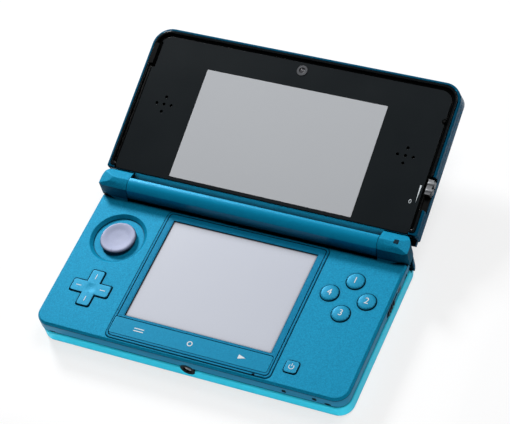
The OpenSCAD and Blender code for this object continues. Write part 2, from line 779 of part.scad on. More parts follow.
module control_plate() {
  color("deepskyblue") difference() {
    union() {
      difference() {
        body_slab(case_top, plate_top, 0, plate_edge, plate_edge * 0.8);
        block(-base_hw - 1, plate_back, 0, base_w + 2, 30, 30);
      }
      for (s = [-1, 1]) {
        knuckle(s);
        mirror([s < 0 ? 1 : 0, 0, 0])
          block(knuckle_x, plate_back - eps, case_top, case_hw - knuckle_x - 1,
            hinge_y - plate_back, plate_t);
      }
    }
    // slide pad
    translate([left_x, pad_y, case_top - eps])
      cylinder(r1 = pad_hole_d / 2, r2 = pad_hole_d / 2 + pad_rim, h = plate_t + 2 * eps);
    // direction pad
    translate([left_x, dpad_y, case_top - 1]) linear_extrude(4) plus(play);
    // round buttons
    for (p = face_places())
      translate([p[0], p[1], case_top - 1]) cylinder(r = face_d / 2 + play * 0.6, h = 4);
    // power button and raised frame
    slab(power_x, power_y, case_top - 1, power_w + 1.2 * play, power_w + 1.2 * play, 4, 1.3);
    slab(0, frame_mid, case_top - 1, frame_w + 2 * fit, frame_d + 2 * fit, 4, frame_r);
    // pins and notice light in the housings
    rod_x(-base_hw + 3, hinge_y, hinge_z, pin_r + run_fit, base_w - 6);
    slab(notice_x, notice_y, hinge_z, notice_w + 0.2, notice_w + 0.2, 8, 0.3);
    slab(notice_x, notice_y, hinge_z, notice_w + 1.3, notice_w + 1.3, 3.4, 0.3);
    for (s = [-1, 1]) shoulder_space(s);
  }
}

// Places of the four round buttons: back, right, front and left
function face_places() = [for (a = [90, 0, -90, 180])
  [right_x + face_offset * cos(a), face_y + face_offset * sin(a)]];

// Outline of the direction pad, grown by the given gap
module plus(gap) {
  for (a = [0, 90]) rotate(a) rounded(dpad_span + 2 * gap, dpad_arm + 2 * gap, 0.9);
}

module screen_frame() {
  color("royalblue") difference() {
    union() {
      slab(0, frame_mid, case_top + 0.02, frame_w, frame_d, frame_top - case_top - 0.22, frame_r);
      slab(0, frame_mid, frame_top - 0.2 - eps, frame_w - 0.4, frame_d - 0.4, 0.2 + eps,
        frame_r - 0.2);
    }
    // narrow groove inside the frame's edge
    difference() {
      slab(0, frame_mid, frame_top - 0.25, frame_w - 2, frame_d - 2, 1, frame_r - 0.9);
      slab(0, frame_mid, frame_top - 1, frame_w - 2.6, frame_d - 2.6, 2, frame_r - 1.1);
    }
    slab(0, touch_y, case_top - 1, touch_w, touch_d, 5, 0.5);
    slab(-strip_shift, strip_y, case_top - 1, strip_w + 0.3, strip_d + 0.3, 5, 0.9);
    translate([mic_x, frame_front + 0.55, case_top - 1]) cylinder(r = 0.3, h = 5);
  }
}

module touch_panel() {
  color("lightsteelblue")
    slab(0, touch_y, touch_z, touch_w - 2 * fit, touch_d - 2 * fit, touch_t, 0.4);
}

module lower_screen() {
  color("gray")
    slab(0, touch_y, lower_lcd_z, touch_w - 4 * fit, touch_d - 4 * fit, lower_lcd_t - fit, 0.5);
}

module main_board() {
  color("darkgreen") translate([0, 0, board_z]) linear_extrude(board_t) difference() {
    outline(case_wall + 1.8);
    translate([-base_hw, plate_back - case_wall - 0.5]) square([base_w, 40]);
    screw_circles(screw_r + 0.3);
    translate([0, front_y]) square([jack_d + 1, 2 * jack_len + 2], center = true);
  }
}

module board_chips() {
  color("black") for (c = CHIPS)
    block(c[0], c[1], board_top + eps, c[2], c[3], lower_lcd_z - board_top - 0.15);
}

module battery() {
  color("dimgray")
    slab(battery_x, battery_y, cover_wall + 0.3, battery_w, battery_d, battery_t, 1.5);
}

module battery_contacts() {
  color("gold") for (y = [-10, -6, -2])
    block(battery_low_x - 2.2, y, cover_wall + 1.5, 2, 1.4, floor_z - cover_wall - 1.5);
}

module game_card_slot() {
  color("silver") difference() {
    block(-card_w / 2 - card_t, body_back - card_d - 1, card_z - card_t, card_w + 2 * card_t,
      card_d, card_h + 2 * card_t);
    block(-card_w / 2, body_back - card_d - 0.6, card_z, card_w, card_d + 2, card_h);
  }
}

module memory_card_slot() {
  color("silver") difference() {
    block(-base_hw + 2.2, memory_y - memory_w / 2 - 0.3, memory_z - 0.3, memory_d,
      memory_w + 0.6, memory_h + 0.6);
    block(-base_hw, memory_y - memory_w / 2, memory_z, memory_d + 1.5, memory_w, memory_h);
  }
}

module memory_card_door() {
  color("steelblue") union() {
    block(-case_hw, memory_y - memory_w / 2 - 1, memory_z - 0.75, cover_wall, memory_w + 2,
      cover_h - memory_z + 0.7);
    for (y = [memory_y - memory_w / 2 + 3.3, memory_y + memory_w / 2 - 6.3])
      block(-case_hw + cover_wall - eps, y, memory_z + 0.3, 0.7, 3, 1.6);
  }
}

module headphone_socket() {
  color("black") difference() {
    union() {
      rod_y(0, case_front - 0.05, jack_z, jack_d / 2, 1.5);
      block(-jack_box_w / 2, case_front + 1.4, jack_z - jack_box_h / 2, jack_box_w,
        jack_len - 1.4, jack_box_h);
    }
    rod_y(0, front_y - 1, jack_z, jack_bore_d / 2, jack_len - 0.4);
  }
}

module charging_socket() {
  color("silver") difference() {
    block(charge_x - charge_w / 2 + fit, body_back - 6, charge_z - charge_h / 2 + fit,
      charge_w - 2 * fit, 5.9, charge_h - 2 * fit);
    block(charge_x - charge_w / 2 + 0.6, body_back - 4.5, charge_z - charge_h / 2 + 0.6,
      charge_w - 1.2, 6, charge_h - 1.2);
  }
}

module infrared_window() {
  color("black") slab_y(infrared_x, body_back - 1.9, infrared_z, 6.8, 2.8, 1.9, 0.7);
}

module microphone() {
  color("gray") translate([mic_x, case_front + case_wall + 1.2, board_top + 0.05])
    cylinder(r = 1.1, h = 1.2);
}

module light_pipe_front(x) {
  slab_y(x, case_front, light_z, light_w, 0.8, 2.6, 0.2);
  slab_y(x, case_front + 1.8, light_z, light_w + 0.9, 1.2, 1.4, 0.2);
}

module power_light() {
  color("lightblue") light_pipe_front(base_hw - power_light_in);
}

module charge_light() {
  color("orange") light_pipe_front(base_hw - charge_light_in);
}

module wireless_light() {
  color("khaki") slab_x(base_hw - 2.8, wireless_light_y, light_side_z, 2.4, 1.6,
    2.55, 0.2);
}

module notice_light() {
  color("black") {
    slab(notice_x, notice_y, hinge_z + 2.5, notice_w, notice_w, barrel_r - 2.75, 0.2);
    slab(notice_x, notice_y, hinge_z + 2.45, notice_w + 1.1, notice_w + 1.1, 0.8, 0.2);
  }
}

module button_rubber() {
  w = 2 * face_offset + face_d + 1.3;
  color("lightgray") {
    slab(right_x, face_y, board_top + 0.05, w, w, 0.35, 2);
    for (p = face_places())
      translate([p[0], p[1], board_top + 0.3]) cylinder(r = 2.2, h = 0.45);
  }
}

module slide_pad_frame() {
  color("dimgray") translate([left_x, pad_y, board_top + 0.05]) difference() {
    linear_extrude(0.75) rounded(pad_frame_w, pad_frame_d, 2);
    translate([0, 0, 0.3]) linear_extrude(1) rounded(pad_slot_w, pad_slot_d, 1);
    translate([0, 0, -1]) cylinder(r = 5.5, h = 3);
  }
}

module slide_pad_carriage() {
  color("gray") translate([left_x, pad_y, board_top + 0.4]) difference() {
    linear_extrude(0.5) rounded(carriage_w, carriage_d, 1);
    translate([0, 0, -1]) linear_extrude(3)
      rounded(2 * pad_pin_r + 0.2, 2 * pad_travel + 5.2, 0.8);
  }
}

module slide_pad() {
  cap_z = case_top + 0.65;
  color("lavender") translate([left_x, pad_y, 0]) rotate_extrude($fn = 96) polygon([
    [0, board_top + 0.45], [pad_pin_r, board_top + 0.45], [pad_pin_r, pad_skirt_z - 0.3],
    [pad_stem_r + 0.7, pad_skirt_z - 0.3], [pad_stem_r + 0.7, pad_skirt_z - 0.02],
    [pad_stem_r, pad_skirt_z - 0.02], [pad_stem_r, cap_z - 0.25],
    [pad_d / 2 - 0.6, cap_z], [pad_d / 2, cap_z + 0.35], [pad_d / 2, control_top - 0.45],
    [pad_d / 2 - 0.3, control_top - 0.1], [pad_d / 2 - 0.9, control_top],
    [pad_d / 2 - 1.6, control_top - 0.12], [pad_d / 2 - 3.4, control_top - 0.5],
    [0, control_top - 0.75]
  ]);
}

// Blue disc pressed on the pad's stem, which closes the dish from below
module slide_pad_skirt() {
  color("deepskyblue") translate([left_x, pad_y, pad_skirt_z]) difference() {
    cylinder(r = pad_skirt_r, h = pad_skirt_t, $fn = 96);
    translate([0, 0, -1]) cylinder(r = pad_stem_r + fit / 2, h = 3);
  }
}

module direction_rubber() {
  color("lightgray") translate([left_x, dpad_y, board_top + 0.4]) cylinder(r = 6.6, h = 0.4);
}

module direction_pad() {
  hub = board_top + 1.2;
  top = plate_top + dpad_proud;
  color("slategray") translate([left_x, dpad_y, 0]) {
    translate([0, 0, hub]) cylinder(r = 3, h = 0.6);
    translate([0, 0, hub + 0.25]) cylinder(r = 6.2, h = 0.2);
    difference() {
      union() {
        translate([0, 0, hub + 0.3]) linear_extrude(top - 0.25 - hub - 0.3) plus(0);
        translate([0, 0, top - 0.25 - eps]) linear_extrude(0.25 + eps) plus(-0.2);
      }
      translate([0, 0, top + 19.85]) sphere(r = 20, $fn = 64);
    }
  }
}

module face_button(i) {
  p = face_places()[i];
  flange = case_top - 0.05;
  r = face_d / 2;
  color("slategray") translate([p[0], p[1], 0]) rotate_extrude($fn = 72) polygon([
    [0, flange - 0.7], [r + 0.8, flange - 0.7], [r + 0.8, flange], [r, flange],
    [r, control_top - 0.75], [r - 0.07, control_top - 0.5], [r - 0.22, control_top - 0.3],
    [r - 0.5, control_top - 0.14], [r - 1, control_top - 0.06], [0, control_top]
  ]);
}

module button_top() face_button(0);
module button_right() face_button(1);
module button_bottom() face_button(2);
module button_left() face_button(3);

module power_button() {
  color("slategray") {
    slab(power_x, power_y, case_top - 0.7, power_w + 1.4, power_w + 1.4, 0.65, 1.4);
    slab(power_x, power_y, case_top - 0.1, power_w, power_w, plate_t + 0.35, 1.2);
    slab(power_x, power_y, plate_top + 0.2, power_w - 0.3, power_w - 0.3, 0.25, 1.05);
  }
}

module menu_strip() {
  color("royalblue") slab(-strip_shift, strip_y, strip_z, strip_w, strip_d, strip_t, 0.8);
}

module key_switches() {
  w = strip_d - 3.4;
  color("silver") {
    for (i = [-1, 0, 1])
      block(i * key_pitch - strip_shift - w / 2, strip_y - w * 0.375, board_top, w, w * 0.75,
        strip_z - board_top - strip_travel - 0.1);
    block(power_x - w / 2, power_y - w / 2, board_top, w, w, case_top - 0.7 - board_top - 0.4);
  }
}

module shoulder_button(s) {
  mirror([s < 0 ? 1 : 0, 0, 0]) color("midnightblue") difference() {
    union() {
      shoulder_shell(shoulder_x, shoulder_h);
      shoulder_shell(shoulder_step_x, shoulder_corner_h);
      translate([shoulder_pivot_x, shoulder_pivot_y, shoulder_z])
        cylinder(r = shoulder_pin_room - 0.2, h = shoulder_h);
    }
    translate([shoulder_pivot_x, shoulder_pivot_y, 0])
      cylinder(r = shoulder_pin_r + run_fit, h = 20);
  }
}

// Curved wall of a shoulder button from the given place outwards
module shoulder_shell(x, h) {
  translate([0, 0, shoulder_z]) linear_extrude(h) intersection() {
    difference() {
      hull_free_outline(base_hw + shoulder_out, front_y, back_y, front_r, rear_r);
      outline(shoulder_t - 0.4);
    }
    translate([x, shoulder_front]) square([40, 20]);
  }
}

module shoulder_button_left() shoulder_button(-1);
module shoulder_button_right() shoulder_button(1);

module shoulder_pins() {
  color("silver") for (s = [-1, 1])
    translate([s * shoulder_pivot_x, shoulder_pivot_y, shoulder_z - 0.18])
      cylinder(r = shoulder_pin_r, h = shoulder_h + 0.3);
}

module shoulder_springs() {
  y = body_back - shoulder_t - 2.1 + 0.02;
  color("silver") for (s = [-1, 1]) difference() {
    rod_y(s * (shoulder_x + 9), y, shoulder_z + 2.4, 0.9, 2);
    rod_y(s * (shoulder_x + 9), y - 1, shoulder_z + 2.4, 0.55, 4);
  }
}

module wireless_switch() {
  color("dimgray") ribbed_slide(wireless_y + fit, wireless_len, 4);
}

module volume_slider() {
  color("dimgray") mirror([1, 0, 0])
    ribbed_slide(volume_y + (volume_slot - volume_len) / 2, volume_len, 3);
}

// Slide switch in a side wall, its near end at y, with ribs for the finger
module ribbed_slide(y, length, ribs) {
  z = switch_z + 0.06;
  h = switch_h - 0.12;
  pitch = (length - 0.6) / ribs;
  block(base_hw - 2.9, y, z, 2.8, length, h);
  for (i = [0:ribs - 1])
    block(base_hw - 0.15, y + 0.3 + (i + 0.25) * pitch, z, 0.35, pitch / 2, h);
}

module stylus() {
  tip = body_back - stylus_len;
  color("gray") {
    translate([stylus_x, body_back - 0.9, stylus_z]) rotate([90, 0, 0]) cylinder(
      r = stylus_d / 2, h = stylus_len - 6.9);
    translate([stylus_x, tip + 6 + eps, stylus_z]) rotate([90, 0, 0]) cylinder(
      r1 = stylus_d / 2, r2 = 0.7, h = 5.5);
    translate([stylus_x, tip + 0.8, stylus_z]) sphere(r = 0.8, $fn = 32);
    rod_y(stylus_x, body_back - 1.1, stylus_z, stylus_d / 2 + 0.45, 1.1);
  }
}

module hinge_pins() {
  color("silver") for (s = [-1, 1]) mirror([s < 0 ? 1 : 0, 0, 0])
    rod_x(base_hw - 3.3 - pin_len, hinge_y, hinge_z, pin_r, pin_len);
}

// Solid lid body between two heights, rounded on its outer edges
module lid_body(in, w0, w1, r) {
  intersection() {
    translate([0, 0, w0]) linear_extrude(w1 - w0) lid_outline(in);
    translate([0, lid_reach + 5, 0]) rotate([90, 0, 0]) linear_extrude(lid_reach + 10)
      tray_section(lid_hw - in, w0, w1, r);
    translate([-lid_hw - 1, (lid_near + lid_reach) / 2, 0]) rotate([90, 0, 90])
      linear_extrude(2 * lid_hw + 2)
        tray_section((lid_reach - lid_near) / 2 - in, w0, w1, r);
  }
}

module lid_cover() {
  color("royalblue") in_lid() difference() {
    union() {
      lid_body(0, lid_back_w, frame_low_w - fit, lid_edge_r);
      // lip behind the hinge housings
      difference() {
        translate([-lid_hw + 1.2, 3.6, lid_back_w + 0.25]) cube([2 * lid_hw - 2.4, 3, 1.95]);
        rod_x(-lid_hw - 1, 0, 0, trough_r + 0.1, 2 * lid_hw + 2);
      }
    }
    lid_body(lid_wall, lid_back_w + lid_wall, 1, max(lid_edge_r - lid_wall, 0.3));
    slider_channel();
    for (s = [-1, 1]) translate([s * camera_gap / 2, camera_v, lid_back_w - 1])
      cylinder(r = camera_r + fit, h = 6);
  }
}

// Space of the depth slider's channel in the lid's right side
module slider_channel() {
  block(lid_hw - channel_in, channel_near, channel_w, 5, channel_len, 5);
}

module lid_frame() {
  color("royalblue") in_lid() difference() {
    union() {
      difference() {
        moulded(lid_hw, lid_near, lid_reach, lid_near_r, lid_r, frame_low_w, lid_edge_w,
          0, lid_lip, lid_lip);
        translate([0, 0, -2]) linear_extrude(9) frame_window();
      }
      // barrel and the web that carries it
      translate([-barrel_hw, 0, 0]) rotate([90, 0, 90]) linear_extrude(2 * barrel_hw)
        barrel_section();
    }
    rod_x(-lid_hw, 0, 0, pin_r + run_fit, 2 * lid_hw);
    // low edge between the panel and the barrel
    block(-panel_hw - fit, 0, panel_w - 0.25, 2 * (panel_hw + fit), panel_near, 3);
    // seat of the black rim and the panel
    translate([0, 0, seat_w]) linear_extrude(9) {
      intersection() {
        lid_outline(rim_edge);
        translate([-lid_hw, panel_near - fit]) square([2 * lid_hw, lid_reach]);
      }
      translate([-panel_hw - fit, panel_near - fit]) square([2 * (panel_hw + fit), 3]);
    }
    translate([0, camera_v, -2]) cylinder(r = camera_r + fit, h = 9);
    slider_channel();
  }
}

// Opening of the lid's frame behind the panel
module frame_window() {
  near = lid_near + lid_wall;
  far = lid_reach - seat_in;
  translate([0, (near + far) / 2]) rounded(2 * (lid_hw - seat_in), far - near, 1);
}

// Section of the moving barrel with its flats, and the web behind it
module barrel_section() {
  out = barrel_r + 1;
  intersection() {
    circle(r = barrel_r);
    polygon(concat([[-out, 0], [-out, -out], [out, -out], [out, 2], [3.6, 3.75]],
      [for (a = BARREL_EDGES) [barrel_r * cos(a), barrel_r * sin(a)]]));
  }
  polygon([[2, -4.5], [lid_near - fit, -3.1], [lid_near - fit, frame_low_w + eps],
    [lid_near + 0.8, frame_low_w + eps], [lid_near + 0.8, panel_w - 0.5], [2, 4.4]]);
}

module lid_rim() {
  color("black") in_lid() difference() {
    translate([0, 0, seat_w + 0.05]) linear_extrude(rim_w - seat_w - 0.05)
      lid_outline(rim_edge + fit);
    // place of the front panel
    translate([0, 0, -1]) linear_extrude(9) difference() {
      union() {
        panel_outline(fit);
        translate([-panel_hw - fit, 0]) square([2 * (panel_hw + fit), panel_far / 2]);
      }
      lid_pad_places(1.15);
    }
    // groove round the panel
    translate([0, 0, groove_w]) linear_extrude(9) lid_outline(rim_edge + fit + rim_wall);
    slider_channel();
    translate([0, 0, groove_w]) linear_extrude(9) lid_pad_places(fit / 2);
  }
}

// Places of the bar and the stud that the shut lid rests on, grown by the given gap
module lid_pad_places(gap) {
  translate([rest_x, rest_v]) rounded(rest_w + 2 * gap, rest_l + 2 * gap, 0.4);
  translate([stud_x, stud_v]) circle(r = stud_r + gap / 2);
}

// Outline of the front panel grown by the given distance
module panel_outline(out) {
  hull_free_outline(panel_hw + out, panel_near - out, panel_far + out, 1.2, panel_r + out);
}

module front_panel() {
  color("black") in_lid() difference() {
    translate([0, 0, panel_w - panel_t]) linear_extrude(panel_t) difference() {
      panel_outline(0);
      lid_pad_places(1.25);
    }
    translate([0, upper_v, 0]) linear_extrude(5) rounded(upper_w, upper_d, 0.4);
    for (s = [-1, 1], p = [[0, 0], [1, 0], [-1, 0], [0, 1], [0, -1]])
      translate([s * speaker_x + p[0] * speaker_pitch, speaker_v + p[1] * speaker_pitch, 0])
        cylinder(r = speaker_hole_d / 2, h = 5, $fn = 24);
    translate([0, camera_v, 0]) cylinder(r = camera_r + fit / 2, h = 5);
  }
}

module upper_glass() {
  color("lightgray") in_lid() translate([0, upper_v, panel_w - 0.8])
    linear_extrude(0.8) rounded(upper_w - fit, upper_d - fit, 0.35);
}

module upper_screen() {
  near = lid_near + lid_wall + fit;
  depth = upper_d + 2;
  color("gray") in_lid() translate([0, near + depth / 2, seat_w - upper_lcd_t])
    linear_extrude(upper_lcd_t) rounded(upper_w + 5, depth, 1);
}

module speakers() {
  color("dimgray") in_lid() for (s = [-1, 1])
    translate([s * speaker_x, speaker_v, seat_w - speaker_t])
      linear_extrude(speaker_t) rounded(speaker_w, speaker_d, 3);
}

module inner_camera() {
  color("gray") in_lid() translate([0, camera_v, 0]) difference() {
    union() {
      translate([0, 0, -1]) cylinder(r = camera_r, h = 1 + panel_w + 0.15);
      translate([-camera_body / 2, -camera_body / 2 - 0.2, -2.4])
        cube([camera_body, camera_body - 1.4, 1.5]);
    }
    translate([0, 0, panel_w - 0.25]) cylinder(r = camera_r - 0.9, h = 2);
  }
}

module outer_cameras() {
  color("gray") in_lid() for (s = [-1, 1])
    translate([s * camera_gap / 2, camera_v, lid_back_w]) difference() {
      union() {
        translate([0, 0, -0.02]) cylinder(r = camera_r, h = 2);
        translate([-camera_body / 2, -camera_body / 2, lid_wall + 0.1])
          cube([camera_body, camera_body, 2]);
      }
      translate([0, 0, -1]) cylinder(r = camera_r - 0.9, h = 1.3);
    }
}

module camera_board() {
  w = camera_gap + camera_body + 4;
  color("darkgreen") in_lid()
    translate([-w / 2, camera_v - camera_body / 2 + 0.1, lid_back_w + lid_wall + 2.15])
      cube([w, camera_body - 0.4, 0.35]);
}

module depth_slider() {
  v = channel_near + knob_rest;
  x = lid_hw - channel_in + fit;
  color("silver") in_lid() {
    block(x, v, channel_w + fit, channel_in - 0.3, knob_len, 2.9);
    for (k = [0.27, 0.73])
      translate([x, v + k * knob_len, 0.7]) rotate([0, 90, 0])
        cylinder(r = knob_len * 0.21, h = channel_in + 0.3);
  }
}

module lid_pads() {
  color("black") in_lid() translate([0, 0, groove_w + 0.02])
    linear_extrude(rim_w + 0.03 - groove_w) lid_pad_places(0);
}

bottom_cover();
cover_screws();
lower_case();
case_screws();
control_plate();
screen_frame();
touch_panel();
lower_screen();
main_board();
board_chips();
battery();
battery_contacts();
game_card_slot();
memory_card_slot();
memory_card_door();
headphone_socket();
charging_socket();
infrared_window();
microphone();
power_light();
charge_light();
wireless_light();
notice_light();
button_rubber();
slide_pad_frame();
slide_pad_carriage();
slide_pad_skirt();
slide_pad();
direction_rubber();
direction_pad();
button_top();
button_right();
button_bottom();
button_left();
power_button();
menu_strip();
key_switches();
shoulder_button_left();
shoulder_button_right();
shoulder_pins();
shoulder_springs();
wireless_switch();
volume_slider();
stylus();
hinge_pins();
lid_cover();
lid_frame();
lid_rim();
front_panel();
upper_glass();
upper_screen();
speakers();
inner_camera();
outer_cameras();
camera_board();
depth_slider();
lid_pads();
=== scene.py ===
import json
import math

import bpy
from mathutils import Matrix, Vector


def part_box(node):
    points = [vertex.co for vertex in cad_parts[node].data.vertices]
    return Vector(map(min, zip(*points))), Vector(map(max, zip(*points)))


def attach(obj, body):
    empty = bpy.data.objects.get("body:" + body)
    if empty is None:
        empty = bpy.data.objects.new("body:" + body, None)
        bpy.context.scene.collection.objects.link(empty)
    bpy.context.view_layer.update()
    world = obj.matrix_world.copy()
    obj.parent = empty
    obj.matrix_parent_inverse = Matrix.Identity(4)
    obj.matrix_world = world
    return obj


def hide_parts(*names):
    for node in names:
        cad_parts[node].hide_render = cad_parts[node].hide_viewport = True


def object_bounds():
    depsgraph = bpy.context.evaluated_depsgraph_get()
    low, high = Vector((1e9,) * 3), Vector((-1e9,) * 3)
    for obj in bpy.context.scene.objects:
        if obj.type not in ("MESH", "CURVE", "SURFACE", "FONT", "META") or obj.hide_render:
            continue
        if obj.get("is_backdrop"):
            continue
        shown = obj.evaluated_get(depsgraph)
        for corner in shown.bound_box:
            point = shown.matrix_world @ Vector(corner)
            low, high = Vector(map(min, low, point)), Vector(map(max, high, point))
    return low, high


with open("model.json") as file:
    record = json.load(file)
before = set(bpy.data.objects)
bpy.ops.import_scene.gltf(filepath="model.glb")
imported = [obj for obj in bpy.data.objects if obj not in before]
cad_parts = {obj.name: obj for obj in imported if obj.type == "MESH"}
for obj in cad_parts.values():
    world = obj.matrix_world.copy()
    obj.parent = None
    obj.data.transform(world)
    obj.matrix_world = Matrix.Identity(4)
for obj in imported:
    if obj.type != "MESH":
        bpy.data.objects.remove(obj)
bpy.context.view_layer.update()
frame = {"nodes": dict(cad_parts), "record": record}

# The room: a pale floor under the console and a camera held above its front right corner.
# A small key lamp stands behind it to the left and a broad lamp hangs over it, so its front
# stays dim. Two low strips of light reach only the sides of its bottom cover.
MM = 0.001
camera_place = Vector((311.57, -366.28, 643.58)) * MM
camera_target = Vector((-7.32, 42.49, 0)) * MM
camera_roll = math.radians(-18.24)
camera_lens = 145.34
film_width = 36
nearest_seen = 0.01
lamp_target = (0, 0.02, 0.01)
strip_glow = 10.0
strip_rise = 3.2 * MM
strip_height = 3 * MM
strip_away = 45 * MM
strip_spread = math.radians(34)
room_light = 0.03
floor_half = 1.2
floor_roughness = 0.9
floor_glow = 1.08
floor_lift = 0.7

scene = bpy.context.scene
scene.view_settings.view_transform = "Standard"

bpy.ops.object.select_all(action="DESELECT")
bpy.ops.object.camera_add(location=camera_place)
camera = bpy.context.object
camera.data.lens = camera_lens
camera.data.sensor_width = film_width
camera.data.clip_start = nearest_seen
aim = (camera_target - camera_place).to_track_quat("-Z", "Y").to_matrix()
camera.rotation_euler = (aim @ Matrix.Rotation(camera_roll, 3, "Z")).to_euler()
scene.camera = camera


def srgb(red, green, blue):
    """Colour as it is seen on a screen, 0 to 255, turned into the shader's linear values."""
    def line(v):
        v /= 255
        return v / 12.92 if v <= 0.04045 else ((v + 0.055) / 1.055) ** 2.4
    return (line(red), line(green), line(blue), 1)


def lamp(name, target, direction, distance, size, power, height=0.0):
    """Soft lamp in the given direction from its target, square or as low as its height."""
    target = Vector(target)
    place = target + Vector(direction).normalized() * distance
    bpy.ops.object.light_add(type="AREA", location=place)
    light = bpy.context.object
    light.name = name
    light.data.size = size
    if height:
        light.data.shape = "RECTANGLE"
        light.data.size_y = height
    light.data.energy = power
    light.rotation_euler = (target - place).to_track_quat("-Z", "Y").to_euler()
    return light


def shown_to_camera(tree, shown, other, surface):
    """Gives the camera one shader and every other ray another."""
    path = tree.nodes.new("ShaderNodeLightPath")
    pick = tree.nodes.new("ShaderNodeMixShader")
    tree.links.new(path.outputs["Is Camera Ray"], pick.inputs["Fac"])
    tree.links.new(other.outputs[0], pick.inputs[1])
    tree.links.new(shown.outputs[0], pick.inputs[2])
    tree.links.new(pick.outputs[0], surface)


lamp("key_lamp", lamp_target, direction=(-0.62, 0.55, 0.56), distance=1.1, size=0.24, power=11.4)
lamp("top_lamp", lamp_target, direction=(0.26, 0.3, 0.9), distance=1.2, size=0.5, power=5.6)
for name, target, direction, length, share in (
        ("front_strip", (0, -0.037, strip_rise), (0, -1, 0), 0.22, 1.0),
        ("right_strip", (0.067, 0, strip_rise), (1, 0, 0), 0.16, 0.55)):
    strip = lamp(name, target, direction, strip_away, length,
                 share * strip_glow * length * strip_height, height=strip_height)
    strip.data.spread = strip_spread
    strip.visible_camera = False
    strip.visible_glossy = False

world = bpy.data.worlds.new("room")
scene.world = world
world.use_nodes = True
tree = world.node_tree
tree.nodes.clear()
out = tree.nodes.new("ShaderNodeOutputWorld")
seen = tree.nodes.new("ShaderNodeBackground")
seen.inputs["Color"].default_value = (1, 1, 1, 1)
lit = tree.nodes.new("ShaderNodeBackground")
lit.inputs["Color"].default_value = srgb(232, 240, 248)
lit.inputs["Strength"].default_value = room_light
shown_to_camera(tree, seen, lit, out.inputs["Surface"])

bpy.ops.object.select_all(action="DESELECT")
bpy.ops.mesh.primitive_plane_add(size=2 * floor_half)
floor = bpy.context.object
floor.name = "floor"
pale = bpy.data.materials.new("pale_floor")
pale.use_nodes = True
tree = pale.node_tree
shader = tree.nodes["Principled BSDF"]
shader.inputs["Base Color"].default_value = srgb(244, 244, 245)
shader.inputs["Roughness"].default_value = floor_roughness
glow = tree.nodes.new("ShaderNodeEmission")
glow.inputs["Strength"].default_value = floor_glow
lifted = tree.nodes.new("ShaderNodeMixShader")
lifted.inputs["Fac"].default_value = floor_lift
tree.links.new(shader.outputs[0], lifted.inputs[1])
tree.links.new(glow.outputs[0], lifted.inputs[2])
shown_to_camera(tree, lifted, shader, tree.nodes["Material Output"].inputs["Surface"])
floor.data.materials.append(pale)
floor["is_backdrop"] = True

# Bottom cover: a shallow cyan tray, injection moulded with a satin face, held from below by
# two captive screws. Its edges are rolled and its face has the fine grain of the mould.
body_names = {node: body for body, nodes in frame["record"]["behaviour"]["bodies"].items()
              for node in nodes}
edge_samples = 4
mould_edge = 0.12 * MM
grain_height = 0.03 * MM
grain_detail = 3
drift_detail = 4
# The next three values set the painted shade in gaps and inner corners.
gap_samples = 8
gap_dark = 0.66
gap_clear = 0.98
coat_roughness = 0.12
weld = 0.0005 * MM
roll_steps = 2
face_pull = 100


def only(obj):
    """Makes one object the only selected and active one."""
    bpy.ops.object.select_all(action="DESELECT")
    obj.select_set(True)
    bpy.context.view_layer.objects.active = obj
    return obj


def shader_group(name, inputs, outputs):
    """Empty shader group with named sockets: {name: default} in and {name: type} out."""
    group = bpy.data.node_groups.new(name, "ShaderNodeTree")
    for key, value in inputs.items():
        kind = "NodeSocketColor" if isinstance(value, tuple) else "NodeSocketFloat"
        socket = group.interface.new_socket(key, in_out="INPUT", socket_type=kind)
        socket.default_value = value
    for key, kind in outputs.items():
        group.interface.new_socket(key, in_out="OUTPUT", socket_type=kind)
    return group, group.nodes.new("NodeGroupInput"), group.nodes.new("NodeGroupOutput")


def noise(group, place, detail):
    """Noise on the piece's own coordinates, in metres."""
    pattern = group.nodes.new("ShaderNodeTexNoise")
    pattern.inputs["Detail"].default_value = detail
    group.links.new(place.outputs["Object"], pattern.inputs["Vector"])
    return pattern


def between(group, share, first, second):
    """Colour between two others, by a share that changes over the surface."""
    blend = group.nodes.new("ShaderNodeMix")
    blend.data_type = "RGBA"
    group.links.new(share, blend.inputs["Factor"])
    group.links.new(first, blend.inputs["A"])
    group.links.new(second, blend.inputs["B"])
    return blend.outputs["Result"]


def darkened(group, colour, share):
    """Colour multiplied by a share that changes over the surface."""
    shade = group.nodes.new("ShaderNodeMix")
    shade.data_type = "RGBA"
    shade.blend_type = "MULTIPLY"
    shade.inputs["Factor"].default_value = 1
    group.links.new(colour, shade.inputs["A"])
    group.links.new(share, shade.inputs["B"])
    return shade.outputs["Result"]


def relief(group, strength, height, edge_radius, distance):
    """Normal of a face with rolled edges whose pattern stands up to distance high."""
    edge = group.nodes.new("ShaderNodeBevel")
    edge.samples = edge_samples
    edge.inputs["Radius"].default_value = edge_radius
    bump = group.nodes.new("ShaderNodeBump")
    bump.inputs["Distance"].default_value = distance
    group.links.new(strength, bump.inputs["Strength"])
    group.links.new(height, bump.inputs["Height"])
    group.links.new(edge.outputs["Normal"], bump.inputs["Normal"])
    return bump.outputs["Normal"]


